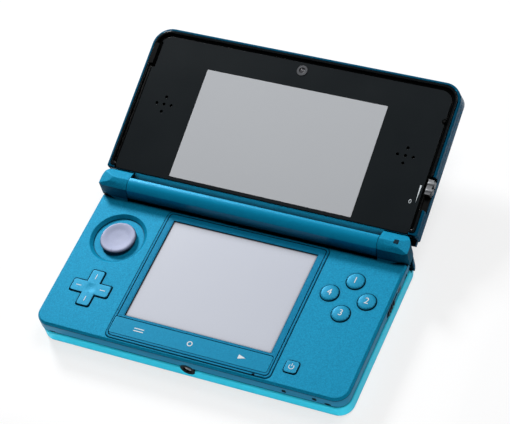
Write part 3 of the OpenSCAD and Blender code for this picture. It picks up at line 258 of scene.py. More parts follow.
def moulded_face_group():
    """Grain of the mould, uneven gloss and a slow drift between two near colours."""
    group, start, end = shader_group(
        "moulded_face",
        {"Colour": (0.5, 0.5, 0.5, 1), "Other Colour": (0.5, 0.5, 0.5, 1),
         "Drift Scale": 60.0, "Grain Scale": 6000.0, "Grain Depth": 0.2,
         "Roughness": 0.35, "Unevenness": 0.05},
        {"Colour": "NodeSocketColor", "Roughness": "NodeSocketFloat",
         "Normal": "NodeSocketVector"})
    links = group.links
    place = group.nodes.new("ShaderNodeTexCoord")
    grain = noise(group, place, grain_detail)
    links.new(start.outputs["Grain Scale"], grain.inputs["Scale"])
    links.new(relief(group, start.outputs["Grain Depth"], grain.outputs["Fac"], mould_edge,
                     grain_height), end.inputs["Normal"])
    drift = noise(group, place, drift_detail)
    links.new(start.outputs["Drift Scale"], drift.inputs["Scale"])
    links.new(between(group, drift.outputs["Fac"], start.outputs["Colour"],
                      start.outputs["Other Colour"]), end.inputs["Colour"])
    smear = group.nodes.new("ShaderNodeMapRange")
    smear.inputs["To Min"].default_value = -0.5
    smear.inputs["To Max"].default_value = 0.5
    links.new(drift.outputs["Fac"], smear.inputs["Value"])
    swing = group.nodes.new("ShaderNodeMath")
    swing.operation = "MULTIPLY_ADD"
    links.new(smear.outputs["Result"], swing.inputs[0])
    links.new(start.outputs["Unevenness"], swing.inputs[1])
    links.new(start.outputs["Roughness"], swing.inputs[2])
    links.new(swing.outputs[0], end.inputs["Roughness"])
    return group


def painted_shade_group():
    """Paints shade into a colour: darkens it in gaps, grooves and inner corners, up to Reach
    away from them.
    """
    group, start, end = shader_group(
        "painted_gap_shade", {"Colour": (0.5, 0.5, 0.5, 1), "Reach": 0.006, "Floor": 0.06},
        {"Colour": "NodeSocketColor"})
    links = group.links
    open_air = group.nodes.new("ShaderNodeAmbientOcclusion")
    open_air.samples = gap_samples
    links.new(start.outputs["Reach"], open_air.inputs["Distance"])
    share = group.nodes.new("ShaderNodeMapRange")
    share.interpolation_type = "SMOOTHSTEP"
    share.inputs["From Min"].default_value = gap_dark
    share.inputs["From Max"].default_value = gap_clear
    links.new(start.outputs["Floor"], share.inputs["To Min"])
    links.new(open_air.outputs["AO"], share.inputs["Value"])
    links.new(darkened(group, start.outputs["Colour"], share.outputs["Result"]),
              end.inputs["Colour"])
    return group


moulded_face = moulded_face_group()
painted_gap_shade = painted_shade_group()


def plastic(name, colour, other=None, roughness=0.35, grain=6000, depth=0.2, uneven=0.05,
            drift=60, specular=0.3, coat=0.0, metal=0.0, reach=6 * MM):
    """Moulded plastic or pressed metal; grain and drift are the scales of its two patterns.

    It is darkened by painted shade in gaps and inner corners, up to reach away from them.
    """
    material = bpy.data.materials.new(name)
    material.use_nodes = True
    nodes, links = material.node_tree.nodes, material.node_tree.links
    bsdf = nodes["Principled BSDF"]
    bsdf.inputs["Specular IOR Level"].default_value = specular
    bsdf.inputs["Coat Weight"].default_value = coat
    bsdf.inputs["Coat Roughness"].default_value = coat_roughness
    bsdf.inputs["Metallic"].default_value = metal
    face = nodes.new("ShaderNodeGroup")
    face.node_tree = moulded_face
    for key, value in (("Colour", colour), ("Other Colour", other or colour),
                       ("Drift Scale", drift), ("Grain Scale", grain), ("Grain Depth", depth),
                       ("Roughness", roughness), ("Unevenness", uneven)):
        face.inputs[key].default_value = value
    shade = nodes.new("ShaderNodeGroup")
    shade.node_tree = painted_gap_shade
    shade.name = "shade"
    shade.inputs["Reach"].default_value = reach
    links.new(face.outputs["Colour"], shade.inputs["Colour"])
    links.new(shade.outputs["Colour"], bsdf.inputs["Base Color"])
    links.new(face.outputs["Roughness"], bsdf.inputs["Roughness"])
    links.new(face.outputs["Normal"], bsdf.inputs["Normal"])
    return material


def dress(material, *names):
    """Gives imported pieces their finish."""
    for name in names:
        mesh = frame["nodes"][name].data
        mesh.materials.clear()
        mesh.materials.append(material)


def softened(name, material, roll, angle=30, facets=50):
    """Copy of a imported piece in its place, its edges rolled over by roll millimetres.

    Edges sharper than angle degrees are rolled, and faces that meet at more than facets
    degrees keep a crisp edge between them.
    """
    mesh = frame["nodes"][name].data.copy()
    piece = bpy.data.objects.new(name + "_moulding", mesh)
    scene.collection.objects.link(piece)
    only(piece)
    bpy.ops.object.mode_set(mode="EDIT")
    bpy.ops.mesh.select_all(action="SELECT")
    bpy.ops.mesh.remove_doubles(threshold=weld)
    bpy.ops.object.mode_set(mode="OBJECT")
    edge = piece.modifiers.new("rolled_edge", "BEVEL")
    edge.width = roll * MM
    edge.segments = roll_steps
    edge.limit_method = "ANGLE"
    edge.angle_limit = math.radians(angle)
    edge.use_clamp_overlap = False
    edge.loop_slide = False
    bpy.ops.object.modifier_apply(modifier=edge.name)
    bpy.ops.object.shade_smooth_by_angle(angle=math.radians(facets))
    flat = piece.modifiers.new("even_normals", "WEIGHTED_NORMAL")
    flat.keep_sharp = True
    flat.weight = face_pull
    bpy.ops.object.modifier_apply(modifier=flat.name)
    mesh.materials.clear()
    mesh.materials.append(material)
    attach(piece, body_names[name])
    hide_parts(name)
    return piece


cyan = plastic("cyan_satin", srgb(50, 198, 228), srgb(56, 204, 233), roughness=0.34, depth=0.25,
               drift=45, reach=1 * MM)
softened("bottom_cover", cyan, roll=0.12)

# Screws: small turned steel screws with a cross recess. Those of the cover are sunk in it and
# stay with it when they are undone; the others draw the two halves of the case together.
steel = plastic("bright_steel", srgb(176, 178, 182), srgb(188, 190, 193), roughness=0.3,
                grain=2600, depth=0.15, uneven=0.12, drift=700, specular=0.5, metal=1.0)
dress(steel, "cover_screws", "case_screws")

# Lower case: the structural tub of the lower half, moulded in a deeper satin blue. It shows as
# a band round the sides, under the control plate and above the dark groove. The memory card's
# door is a small flap of the same blue that hinges in its left side.
band = plastic("band_blue", srgb(16, 122, 160), srgb(22, 129, 167), roughness=0.33, depth=0.25,
               drift=45)
softened("lower_case", band, roll=0.1)
dress(band, "memory_card_door")

# Inside the case: a green circuit board with black packages, a wrapped battery that lies on
# gold-plated contacts, and pressed tin shells round the lower screen, the card slots, the
# charging socket and the microphone. They are soldered or clipped in before the case is shut.
board = plastic("green_board", srgb(26, 86, 52), srgb(40, 104, 66), roughness=0.45, depth=0.3,
                drift=900)
dress(board, "main_board")
chip = plastic("chip_black", srgb(32, 32, 34), srgb(40, 40, 42), roughness=0.6, depth=0.5)
dress(chip, "board_chips")
wrap = plastic("battery_wrap", srgb(66, 68, 72), srgb(78, 80, 84), roughness=0.45)
dress(wrap, "battery")
gold = plastic("gold_plate", srgb(206, 170, 90), srgb(220, 184, 104), roughness=0.25,
               specular=0.5, metal=1.0)
dress(gold, "battery_contacts")
tin = plastic("pressed_tin", srgb(146, 148, 152), srgb(158, 160, 163), roughness=0.42,
              grain=2000, depth=0.2, specular=0.5, metal=1.0)
dress(tin, "lower_screen", "game_card_slot", "memory_card_slot", "charging_socket",
      "microphone")

# Headphone socket: a black moulded ring set in the front edge, with a sprung metal sleeve
# inside it that grips the plug. The sleeve is a short open tube with a rolled lip.
sleeve_radius = 1.74 * MM
sleeve_length = 5 * MM
sleeve_inset = 0.85 * MM
sleeve_wall = 0.18 * MM
sleeve_lip = 0.06 * MM
sleeve_sides = 48
sleeve_smooth = math.radians(30)
socket_axis = 5.4 * MM
soft_black = plastic("soft_black", srgb(20, 21, 23), srgb(26, 27, 29), roughness=0.5, depth=0.5)
dress(soft_black, "headphone_socket")
low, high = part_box("headphone_socket")
bpy.ops.object.select_all(action="DESELECT")
bpy.ops.mesh.primitive_cylinder_add(
    vertices=sleeve_sides, radius=sleeve_radius, depth=sleeve_length, end_fill_type="NOTHING",
    location=(0, low.y + sleeve_inset + sleeve_length / 2, socket_axis),
    rotation=(math.pi / 2, 0, 0))
sleeve = bpy.context.object
sleeve.name = "socket_sleeve"
wall = sleeve.modifiers.new("wall", "SOLIDIFY")
wall.thickness = sleeve_wall
wall.offset = -1
bpy.ops.object.modifier_apply(modifier=wall.name)
lip = sleeve.modifiers.new("lip", "BEVEL")
lip.width = sleeve_lip
lip.segments = roll_steps
bpy.ops.object.modifier_apply(modifier=lip.name)
bpy.ops.object.transform_apply(location=True, rotation=True, scale=True)
bpy.ops.object.shade_smooth_by_angle(angle=sleeve_smooth)
sleeve_metal = plastic("sleeve_metal", srgb(236, 238, 240), srgb(242, 243, 245), roughness=0.3,
                       grain=2600, depth=0.1, drift=700, specular=0.5, metal=0.2,
                       reach=0.8 * MM)
sleeve.data.materials.append(sleeve_metal)
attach(sleeve, "base")

# Control plate: the top half of the lower shell with the two fixed hinge housings, spray-painted
# from above with a metallic paint: flakes a few tenths of a millimetre across in a satin
# binder. Painted shade darkens its steep walls.
flake_edge = 0.15 * MM
flake_height = 0.04 * MM
flake_share = 0.45
cloud_share = 0.55
cloud_scale = 1500
cloud_detail = 3


def flake_group():
    """Fine flakes of a metallic paint: a colour between two tones and a scattered normal."""
    group, start, end = shader_group(
        "paint_flakes",
        {"Dark": (0.1, 0.1, 0.1, 1), "Light": (0.5, 0.5, 0.5, 1), "Flake Scale": 3600.0,
         "Tilt": 0.25},
        {"Colour": "NodeSocketColor", "Normal": "NodeSocketVector"})
    nodes, links = group.nodes, group.links
    place = nodes.new("ShaderNodeTexCoord")
    cells = nodes.new("ShaderNodeTexVoronoi")
    links.new(place.outputs["Object"], cells.inputs["Vector"])
    links.new(start.outputs["Flake Scale"], cells.inputs["Scale"])
    split = nodes.new("ShaderNodeSeparateColor")
    links.new(cells.outputs["Color"], split.inputs["Color"])
    cloud = noise(group, place, cloud_detail)
    cloud.inputs["Scale"].default_value = cloud_scale
    share = nodes.new("ShaderNodeMath")
    share.operation = "MULTIPLY"
    share.inputs[1].default_value = cloud_share
    links.new(cloud.outputs["Fac"], share.inputs[0])
    mean = nodes.new("ShaderNodeMath")
    mean.operation = "MULTIPLY_ADD"
    mean.inputs[1].default_value = flake_share
    links.new(split.outputs["Red"], mean.inputs[0])
    links.new(share.outputs[0], mean.inputs[2])
    links.new(between(group, mean.outputs[0], start.outputs["Dark"], start.outputs["Light"]),
              end.inputs["Colour"])
    links.new(relief(group, start.outputs["Tilt"], split.outputs["Green"], flake_edge,
                     flake_height), end.inputs["Normal"])
    return group


def painted_wall_shade_group():
    """Paints shade into a colour, darkening it on steep walls."""
    group, start, end = shader_group(
        "painted_wall_shade", {"Colour": (0.5, 0.5, 0.5, 1), "Wall": 0.0, "Flat": 0.1, "Left": 1.0},
        {"Colour": "NodeSocketColor"})
    nodes, links = group.nodes, group.links
    place = nodes.new("ShaderNodeTexCoord")
    parts = nodes.new("ShaderNodeSeparateXYZ")
    links.new(place.outputs["Normal"], parts.inputs["Vector"])
    steep = nodes.new("ShaderNodeMapRange")
    steep.interpolation_type = "SMOOTHSTEP"
    links.new(parts.outputs["Z"], steep.inputs["Value"])
    links.new(start.outputs["Wall"], steep.inputs["From Min"])
    links.new(start.outputs["Flat"], steep.inputs["From Max"])
    links.new(start.outputs["Left"], steep.inputs["To Min"])
    links.new(darkened(group, start.outputs["Colour"], steep.outputs["Result"]),
              end.inputs["Colour"])
    return group


paint_flakes = flake_group()
painted_wall_shade = painted_wall_shade_group()


def metallic_paint(name, dark, light, roughness, tilt, specular=0.2, metal=0.3, coat=0.0,
                   reach=6 * MM):
    """Metallic paint between two near colours, its flakes tilted by tilt."""
    material = plastic(name, light, roughness=roughness, metal=metal, specular=specular,
                       coat=coat, reach=reach)
    nodes, links = material.node_tree.nodes, material.node_tree.links
    flakes = nodes.new("ShaderNodeGroup")
    flakes.node_tree = paint_flakes
    flakes.inputs["Dark"].default_value = dark
    flakes.inputs["Light"].default_value = light
    flakes.inputs["Tilt"].default_value = tilt
    links.new(flakes.outputs["Colour"], nodes["shade"].inputs["Colour"])
    links.new(flakes.outputs["Normal"], nodes["Principled BSDF"].inputs["Normal"])
    return material


def wall_shaded(material, wall, flat, left):
    """Paints shade onto a paint's steep walls: all of its colour stays on faces as level as
    flat, and left of it on walls.
    """
    nodes, links = material.node_tree.nodes, material.node_tree.links
    sides = nodes.new("ShaderNodeGroup")
    sides.node_tree = painted_wall_shade
    for key, value in (("Wall", wall), ("Flat", flat), ("Left", left)):
        sides.inputs[key].default_value = value
    links.new(nodes["shade"].outputs["Colour"], sides.inputs["Colour"])
    links.new(sides.outputs["Colour"], nodes["Principled BSDF"].inputs["Base Color"])
    return material


plate_paint = metallic_paint("plate_paint", srgb(0, 121, 162), srgb(22, 165, 208),
                             roughness=0.5, tilt=0.3, specular=0.08, metal=0.12,
                             reach=1.6 * MM)
# Painted shade: the plate's steep walls keep 0.34 of its colour.
wall_shaded(plate_paint, wall=0.05, flat=0.62, left=0.34)
softened("control_plate", plate_paint, roll=0.12, facets=20)

# Screen frame: a glossier blue moulding that stands a little above the plate, with a fine
# groove inside its edge and a thin wall that falls to the touch panel.
recess_wall = 0.3 * MM
recess_fit = 0.09 * MM
frame_paint = metallic_paint("frame_paint", srgb(0, 114, 155), srgb(12, 140, 182),
                             roughness=0.46, tilt=0.16, specular=0.06, metal=0.08,
                             reach=1.4 * MM)
# Painted shade: the frame's steep walls keep a quarter of its colour.
wall_shaded(frame_paint, wall=0.2, flat=0.9, left=0.25)
softened("screen_frame", frame_paint, roll=0.08)
low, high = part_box("touch_panel")
frame_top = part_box("screen_frame")[1].z
bpy.ops.object.select_all(action="DESELECT")
bpy.ops.mesh.primitive_plane_add(size=1)
recess = bpy.context.object
recess.name = "screen_recess"
recess.scale = (high.x - low.x + 2 * recess_fit, high.y - low.y + 2 * recess_fit, 1)
recess.location = ((low.x + high.x) / 2, (low.y + high.y) / 2, high.z + recess_fit / 2)
bpy.ops.object.transform_apply(location=True, rotation=True, scale=True)
bpy.ops.object.mode_set(mode="EDIT")
bpy.ops.mesh.select_all(action="SELECT")
bpy.ops.mesh.inset(thickness=recess_wall)
bpy.ops.mesh.delete(type="FACE")
bpy.ops.mesh.select_all(action="SELECT")
bpy.ops.mesh.extrude_region_move(
    TRANSFORM_OT_translate={"value": (0, 0, frame_top - recess_fit - high.z)})
bpy.ops.mesh.select_all(action="SELECT")
bpy.ops.mesh.normals_make_consistent(inside=False)
bpy.ops.object.mode_set(mode="OBJECT")
recess.data.materials.append(frame_paint)
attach(recess, "base")

# Touch panel: a satin film stretched over the lower screen and bonded along its edges. The
# screen is unlit, so the film looks pale lavender grey.
touch_film = plastic("touch_film", srgb(204, 208, 220), srgb(210, 214, 225), roughness=0.3,
                     grain=2500, depth=0.05, drift=14, specular=0.25)
softened("touch_panel", touch_film, roll=0.05)

# Key strip: one long rocking film of the frame's blue, with a plain printed mark for each of
# its three keys. The marks are white ink, a few hundredths of a millimetre thick.
ink = 0.02 * MM
ink_weld = 0.002 * MM
key_pitch = 22 * MM
left_bars_apart = 1.1 * MM
strip_film = metallic_paint("strip_film", srgb(4, 126, 167), srgb(20, 150, 191),
                            roughness=0.44, tilt=0.14, specular=0.08, metal=0.1)
softened("menu_strip", strip_film, roll=0.05)
white_ink = plastic("white_ink", srgb(226, 236, 242), srgb(236, 243, 247), roughness=0.5,
                    drift=900, depth=0.3)


def printed(mark, body, place, turn=0.0, tilt=0.0):
    """Puts a flat mark down as ink: turned in its plane, tilted about X, moved to its place."""
    only(mark)
    bpy.ops.object.mode_set(mode="EDIT")
    bpy.ops.mesh.select_all(action="SELECT")
    bpy.ops.mesh.remove_doubles(threshold=ink_weld)
    bpy.ops.mesh.normals_make_consistent(inside=False)
    bpy.ops.object.mode_set(mode="OBJECT")
    wall = mark.modifiers.new("ink", "SOLIDIFY")
    wall.thickness = ink
    wall.offset = 0
    bpy.ops.object.modifier_apply(modifier=wall.name)
    mark.data.transform(Matrix.Translation(place) @ Matrix.Rotation(tilt, 4, "X")
                        @ Matrix.Rotation(turn, 4, "Z"))
    mark.data.materials.clear()
    mark.data.materials.append(white_ink)
    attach(mark, body)
    return mark


def ring_mark(name, radius, width, arc=1.0, sides=32):
    """Flat ring, or an arc of one that is open at its top."""
    bpy.ops.object.select_all(action="DESELECT")
    bpy.ops.mesh.primitive_circle_add(vertices=sides, radius=radius, fill_type="NGON")
    mark = bpy.context.object
    mark.name = name
    bpy.ops.object.mode_set(mode="EDIT")
    bpy.ops.mesh.select_all(action="SELECT")
    bpy.ops.mesh.inset(thickness=width)
    bpy.ops.mesh.delete(type="FACE")
    bpy.ops.object.mode_set(mode="OBJECT")
    if arc < 1:
        gone = math.pi * (1 - arc)
        for face in mark.data.polygons:
            face.select = math.atan2(abs(face.center.x), face.center.y) < gone
        bpy.ops.object.mode_set(mode="EDIT")
        bpy.ops.mesh.select_mode(type="FACE")
        bpy.ops.mesh.delete(type="FACE")
        bpy.ops.object.mode_set(mode="OBJECT")
    return mark


def bar_mark(name, length, width, taper=1.0):
    """Flat bar along X, its right end tapered to the given share of its width."""
    bpy.ops.object.select_all(action="DESELECT")
    bpy.ops.mesh.primitive_plane_add(size=1)
    mark = bpy.context.object
    mark.name = name
    for vertex in mark.data.vertices:
        narrow = taper if vertex.co.x > 0 else 1
        vertex.co = Vector((vertex.co.x * length, vertex.co.y * width * narrow, 0))
    return mark


low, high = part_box("menu_strip")
strip_middle = Vector(((low.x + high.x) / 2, (low.y + high.y) / 2, high.z + ink / 2))
next_key = Vector((key_pitch, 0, 0))
for name, side in (("left_key_mark_1", -0.5), ("left_key_mark_2", 0.5)):
    printed(bar_mark(name, length=4.2 * MM, width=0.4 * MM), "menu_strip",
            strip_middle - next_key + Vector((0, side * left_bars_apart, 0)))
printed(ring_mark("middle_key_mark", radius=1.15 * MM, width=0.4 * MM), "menu_strip",
        strip_middle)
printed(bar_mark("right_key_mark", length=3.1 * MM, width=1.9 * MM, taper=0.0), "menu_strip",
        strip_middle + next_key)

# Slide pad: a round cap of soft lavender grey resin with a raised rim, narrower towards its
# top. Its stem carries a blue disc under the plate, so that the dish stays shut as the cap
# slides, and stands on two crossed slides of black plastic.
pad_wall = 1.1 * MM
pad_rise = 0.15 * MM
pad_taper = 0.07
skirt_paint = metallic_paint("skirt_paint", srgb(0, 120, 160), srgb(22, 163, 206),
                             roughness=0.5, tilt=0.3, specular=0.08, metal=0.12,
                             reach=0.7 * MM)
dress(skirt_paint, "slide_pad_skirt")
dress(soft_black, "slide_pad_frame", "slide_pad_carriage")
pad_resin = plastic("pad_resin", srgb(174, 181, 211), srgb(180, 187, 216), roughness=0.55,
                    grain=3500, depth=0.5, drift=120, specular=0.25)
pad = softened("slide_pad", pad_resin, roll=0.12, angle=40)
low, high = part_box("slide_pad")
pad_axis = Vector(((low.x + high.x) / 2, (low.y + high.y) / 2, 0))
for vertex in pad.data.vertices:
    share = (vertex.co.z - high.z + pad_wall) / pad_wall
    if share > 0:
        away = vertex.co - pad_axis
        vertex.co.x -= away.x * pad_taper * share
        vertex.co.y -= away.y * pad_taper * share
        vertex.co.z += pad_rise * share

# Direction pad and buttons: shot in the plate's colour with a satin face, over silicone
# rubbers that press on tin-cased switches. Short dashes mark the pad's arms, plain numerals
# the four round buttons, and an open ring with a bar the small square one.
dash_reach = 5.3 * MM
face_radius = 3.3 * MM
crowned_height = 0.7 * MM
crown_rise = 0.16 * MM
rim_rise = 0.04 * MM
past_rim = 1.2
power_bar_place = Vector((0, 0.85 * MM, 0))
letter_steps = 4
key_paint = metallic_paint("key_paint", srgb(8, 134, 176), srgb(28, 160, 202),
                           roughness=0.45, tilt=0.16, specular=0.15, metal=0.15)
# Painted shade: the keys' steep walls keep 0.12 of their colour.
wall_shaded(key_paint, wall=0.3, flat=0.93, left=0.12)
silicone = plastic("silicone", srgb(190, 192, 192), srgb(200, 202, 202), roughness=0.65)
dress(silicone, "button_rubber", "direction_rubber")
dress(tin, "key_switches")


def text_mark(name, words, size):
    """Flat lettering round its own middle, as a mesh."""
    bpy.ops.object.select_all(action="DESELECT")
    bpy.ops.object.text_add()
    letters = bpy.context.object
    letters.name = name
    letters.data.body = words
    letters.data.size = size
    letters.data.align_x = "CENTER"
    letters.data.align_y = "CENTER"
    letters.data.resolution_u = letter_steps
    bpy.ops.object.convert(target="MESH")
    return bpy.context.object


softened("direction_pad", key_paint, roll=0.14)
low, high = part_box("direction_pad")
pad_middle = Vector(((low.x + high.x) / 2, (low.y + high.y) / 2, high.z + ink / 2))
for index in range(4):
    turn = index * math.pi / 2
    away = Vector((math.cos(turn), math.sin(turn), 0)) * dash_reach
    printed(bar_mark("arm_dash_%d" % (index + 1), length=2.3 * MM, width=0.3 * MM),
            "direction_pad", pad_middle + away, turn=turn)

for name, numeral in (("button_top", "1"), ("button_right", "2"), ("button_bottom", "3"),
                      ("button_left", "4")):
    button = softened(name, key_paint, roll=0.05, angle=50)
    low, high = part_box(name)
    middle = (low + high) / 2
    for vertex in button.data.vertices:
        away = math.hypot(vertex.co.x - middle.x, vertex.co.y - middle.y) / face_radius
        if vertex.co.z > high.z - crowned_height:
            vertex.co.z += crown_rise - (crown_rise - rim_rise) * min(away, past_rim) ** 3
    printed(text_mark(name + "_numeral", numeral, size=3.9 * MM), name,
            Vector((middle.x, middle.y, high.z + crown_rise)))

softened("power_button", key_paint, roll=0.12)
low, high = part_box("power_button")
power_middle = Vector(((low.x + high.x) / 2, (low.y + high.y) / 2, high.z + ink / 2))
printed(ring_mark("power_ring", radius=1.15 * MM, width=0.3 * MM, arc=0.78), "power_button",
        power_middle)
printed(bar_mark("power_bar", length=1.2 * MM, width=0.28 * MM), "power_button",
        power_middle + power_bar_place, turn=math.pi / 2)

# Side switches and lights: ribbed slides of dark grey plastic, and small dark windows pressed
# into the front edge, the right side, the back and the right hinge housing. The front edge
# has four small dark pieces more: two round windows, and two dark discs of painted shade
# where a slot and the microphone's hole are shaded.
dot_sides = 28
dot_thickness = 0.03 * MM
dot_rim = 0.12 * MM
dot_dip = 0.02 * MM
switch_grey = plastic("switch_grey", srgb(30, 44, 52), srgb(36, 51, 59), roughness=0.5,
                      depth=0.5)
dress(switch_grey, "wireless_switch", "volume_slider")
light_pipe_and_hole_shade = plastic("light_pipe_and_hole_shade", srgb(3, 9, 14), srgb(6, 14, 19), roughness=0.4,
                     specular=0.05)
dress(light_pipe_and_hole_shade, "power_light", "charge_light")
# The slot's and the microphone's discs are painted shade for the inside of the slot and the
# hole.
for name, across, tall, place, tilt in (
        ("power_window", 1.9, 1.6, (41.05, -36.81, 8.75), 90.0),
        ("charge_window", 1.9, 1.6, (53.4, -36.81, 8.75), 90.0),
        ("latch_slot", 2.6, 0.9, (58.6, -36.81, 7.95), 90.0),
        ("microphone_gauze", 1.1, 0.9, (28.45, -35.3, 12.48), 48.0)):
    bpy.ops.object.select_all(action="DESELECT")
    bpy.ops.mesh.primitive_circle_add(vertices=dot_sides, radius=0.5, fill_type="NGON")
    dot = bpy.context.object
    dot.name = name
    dot.scale = (across * MM, tall * MM, 1)
    bpy.ops.object.transform_apply(location=True, rotation=True, scale=True)
    bpy.ops.object.mode_set(mode="EDIT")
    bpy.ops.mesh.select_all(action="SELECT")
    bpy.ops.mesh.extrude_region_move(TRANSFORM_OT_translate={"value": (0, 0, dot_thickness)})
    bpy.ops.mesh.inset(thickness=dot_rim, depth=-dot_dip)
    bpy.ops.mesh.select_all(action="SELECT")
    bpy.ops.mesh.normals_make_consistent(inside=False)
    bpy.ops.object.mode_set(mode="OBJECT")
    dot.data.transform(Matrix.Translation(Vector(place) * MM)
                       @ Matrix.Rotation(math.radians(tilt), 4, "X"))
    dot.data.materials.append(light_pipe_and_hole_shade)
    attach(dot, "base")
gloss_black = plastic("gloss_black", srgb(17, 20, 22), srgb(21, 24, 26), roughness=0.16,
                      grain=3000, depth=0.04, drift=30, uneven=0.08, specular=0.4)
dress(gloss_black, "wireless_light", "infrared_window")
dark_window = plastic("dark_window", srgb(8, 40, 54), srgb(12, 46, 60), roughness=0.25,
                      grain=3000, depth=0.05, specular=0.2)
dress(dark_window, "notice_light")

# Shoulder buttons: moulded shells in a glossy dark blue that wrap the rear corners. Each turns
# on a small steel pin and springs back on a wound steel spring.
lid_blue = metallic_paint("lid_blue", srgb(2, 74, 104), srgb(8, 92, 126), roughness=0.26,
                          tilt=0.08, specular=0.035, metal=0.0)
softened("shoulder_button_left", lid_blue, roll=0.15)
softened("shoulder_button_right", lid_blue, roll=0.15)
dress(steel, "shoulder_pins", "shoulder_springs")

# Stylus: a plain moulded rod in dark grey with rolled edges. It is pushed into a channel in
# the back of the case, which holds it by friction.
stylus_grey = plastic("stylus_grey", srgb(58, 62, 68), srgb(64, 68, 74), roughness=0.45,
                      depth=0.4)
softened("stylus", stylus_grey, roll=0.08)

# Lid frame: the inner half of the lid's shell and the hinge barrel in one glossy blue
# moulding that turns on steel pins. Its outer edges have the lid's dark blue. A black sheet
# in the depth slider's channel in its right edge is painted shade for that recess.
dark_side = 64.2 * MM
dark_far = 95 * MM
hinge_place = Vector((0, 31.7, 14.95)) * MM
lid_tilt = math.radians(16.4)
lid_place = Matrix.Translation(hinge_place) @ Matrix.Rotation(lid_tilt, 4, "X")
lid_half_width = 67.4 * MM
channel_near = 16.1 * MM
channel_length = 14 * MM
channel_depth = 2.6 * MM
channel_floor = -1.2 * MM
channel_height = 2.6 * MM
shade_sheet_clear = 0.01 * MM
shade_sheet_back = 0.34 * MM
shade_sheet_wall = 0.05 * MM
shade_sheet_width = channel_depth - shade_sheet_clear - shade_sheet_back
faces_up = 0.9
# The barrel's painted shade reaches 10 mm from gaps and inner corners, darkening its front above
# the plate.
barrel_blue = metallic_paint("barrel_blue", srgb(4, 144, 190), srgb(16, 164, 210),
                             roughness=0.34, tilt=0.1, specular=0.15, metal=0.12, coat=0.12,
                             reach=10 * MM)
shell = softened("lid_frame", barrel_blue, roll=0.1, facets=20)
shell.data.materials.append(lid_blue)
for face in shell.data.polygons:
    if abs(face.center.x) > dark_side or face.center.y > dark_far:
        face.material_index = 1
dress(steel, "hinge_pins")
# Painted shade: a black sheet, open at its top and outer side, lines the depth slider's channel.
bpy.ops.object.select_all(action="DESELECT")
bpy.ops.mesh.primitive_cube_add(size=1)
shade_sheet = bpy.context.object
shade_sheet.name = "channel_shade_sheet"
shade_sheet.scale = (shade_sheet_width, channel_length - 2 * shade_sheet_clear, channel_height)
shade_sheet.location = (lid_half_width - shade_sheet_back - shade_sheet_width / 2,
                  channel_near + channel_length / 2,
                  channel_floor + channel_height / 2 + shade_sheet_clear)
bpy.ops.object.transform_apply(location=True, rotation=True, scale=True)
for face in shade_sheet.data.polygons:
    face.select = face.normal.z > faces_up or face.normal.x > faces_up
bpy.ops.object.mode_set(mode="EDIT")
bpy.ops.mesh.select_mode(type="FACE")
bpy.ops.mesh.delete(type="FACE")
bpy.ops.object.mode_set(mode="OBJECT")
wall = shade_sheet.modifiers.new("wall", "SOLIDIFY")
wall.thickness = shade_sheet_wall
wall.offset = -1
bpy.ops.object.modifier_apply(modifier=wall.name)
shade_sheet.data.transform(lid_place)
shade_sheet.data.materials.append(soft_black)
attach(shade_sheet, "lid")

# Lid cover: the outer half of the lid's shell, moulded in the same high gloss blue as the
# shoulder buttons and plain on its back. It closes over the lid frame from outside.
softened("lid_cover", lid_blue, roll=0.15)

# Rim and front panel: a black rim with a deep groove and small rubber pads, and a glossy black
# sheet inside it that carries the upper screen's window, the speakers' holes and the camera.
# A printed wedge and a nought beside the depth slider show its range.
panel_face = 1.73 * MM + ink / 2
wedge_place = Vector((62.7 * MM, 22.3 * MM, panel_face))
nought_place = Vector((60.4 * MM, 18.6 * MM, panel_face))
softened("lid_rim", gloss_black, roll=0.1)
panel_black = plastic("panel_black", srgb(16, 23, 27), srgb(21, 28, 32), roughness=0.3,
                      grain=5000, depth=0.25, drift=30, uneven=0.08, specular=0.35)
dress(panel_black, "front_panel")
dress(soft_black, "speakers")
pad_rubber = plastic("pad_rubber", srgb(9, 10, 11), srgb(12, 13, 14), roughness=0.75, depth=0.5,
                     specular=0.1)
dress(pad_rubber, "lid_pads")
printed(bar_mark("depth_wedge", length=7.2 * MM, width=0.75 * MM, taper=0.06), "lid",
        lid_place @ wedge_place, turn=-math.pi / 2, tilt=lid_tilt)
printed(text_mark("depth_zero", "0", size=2.4 * MM), "lid", lid_place @ nought_place,
        tilt=lid_tilt)

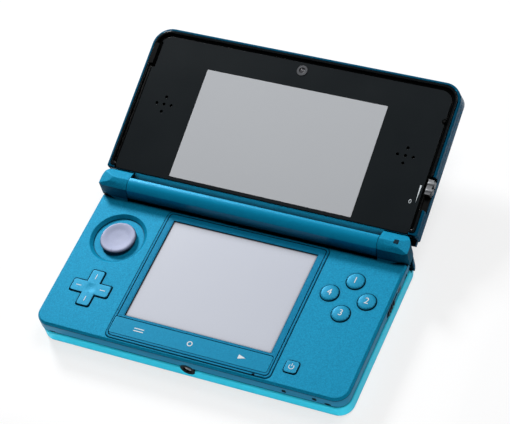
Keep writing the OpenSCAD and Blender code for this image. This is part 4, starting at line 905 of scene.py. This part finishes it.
# Upper screen: a display module in a pressed tin shell, under a flat clear sheet bonded in
# the panel's window. The sheet looks pale grey while the screen is unlit.
upper_sheet = plastic("upper_sheet", srgb(199, 202, 207), srgb(204, 207, 211), roughness=0.3,
                      grain=2500, depth=0.05, drift=14, specular=0.25)
softened("upper_glass", upper_sheet, roll=0.04)
dress(tin, "upper_screen")

# Depth slider and cameras: a pressed slide in satin silver, and turned rings with a dark domed
# lens each, one in the panel and two in the lid's back on a small board of their own.
lens_radius = 1.27 * MM
lens_sides = 40
lens_smooth = math.radians(25)
lens_steps = ((0.12, 0.06), (0.24, -0.05), (0.1, 0.03), (0.22, 0.08), (0.24, 0.04))
camera_distance = 62.2 * MM
inner_face = 1.5 * MM
outer_face = -5.74 * MM
outer_apart = 35 * MM
face_down = Matrix.Rotation(math.pi, 4, "X")
trim = plastic("silver_trim", srgb(132, 134, 138), srgb(142, 144, 147), roughness=0.5,
               grain=1800, depth=0.2, drift=900, uneven=0.1, specular=0.4, metal=0.6)
softened("depth_slider", trim, roll=0.12)
dress(board, "camera_board")
ring_metal = plastic("ring_metal", srgb(92, 94, 98), srgb(102, 104, 108), roughness=0.4,
                     grain=2500, depth=0.15, drift=900, specular=0.4, metal=0.5)
dress(ring_metal, "inner_camera", "outer_cameras")
lens_glass = plastic("lens_glass", srgb(84, 84, 88), srgb(90, 90, 94), roughness=0.22,
                     grain=3000, depth=0.02, specular=0.3, coat=0.2, reach=0.2 * MM)
for name, side, out, turned in (("inner_lens", 0, inner_face, Matrix.Identity(4)),
                                ("outer_lens_left", -0.5, outer_face, face_down),
                                ("outer_lens_right", 0.5, outer_face, face_down)):
    bpy.ops.object.select_all(action="DESELECT")
    bpy.ops.mesh.primitive_circle_add(vertices=lens_sides, radius=lens_radius,
                                      fill_type="NGON")
    glass = bpy.context.object
    glass.name = name
    bpy.ops.object.mode_set(mode="EDIT")
    bpy.ops.mesh.select_all(action="SELECT")
    for step, rise in lens_steps:
        bpy.ops.mesh.inset(thickness=step * MM, depth=rise * MM)
    bpy.ops.object.mode_set(mode="OBJECT")
    bpy.ops.object.shade_smooth_by_angle(angle=lens_smooth)
    place = Matrix.Translation((side * outer_apart, camera_distance, out))
    glass.data.transform(lid_place @ place @ turned)
    glass.data.materials.append(lens_glass)
    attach(glass, "lid")

low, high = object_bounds()
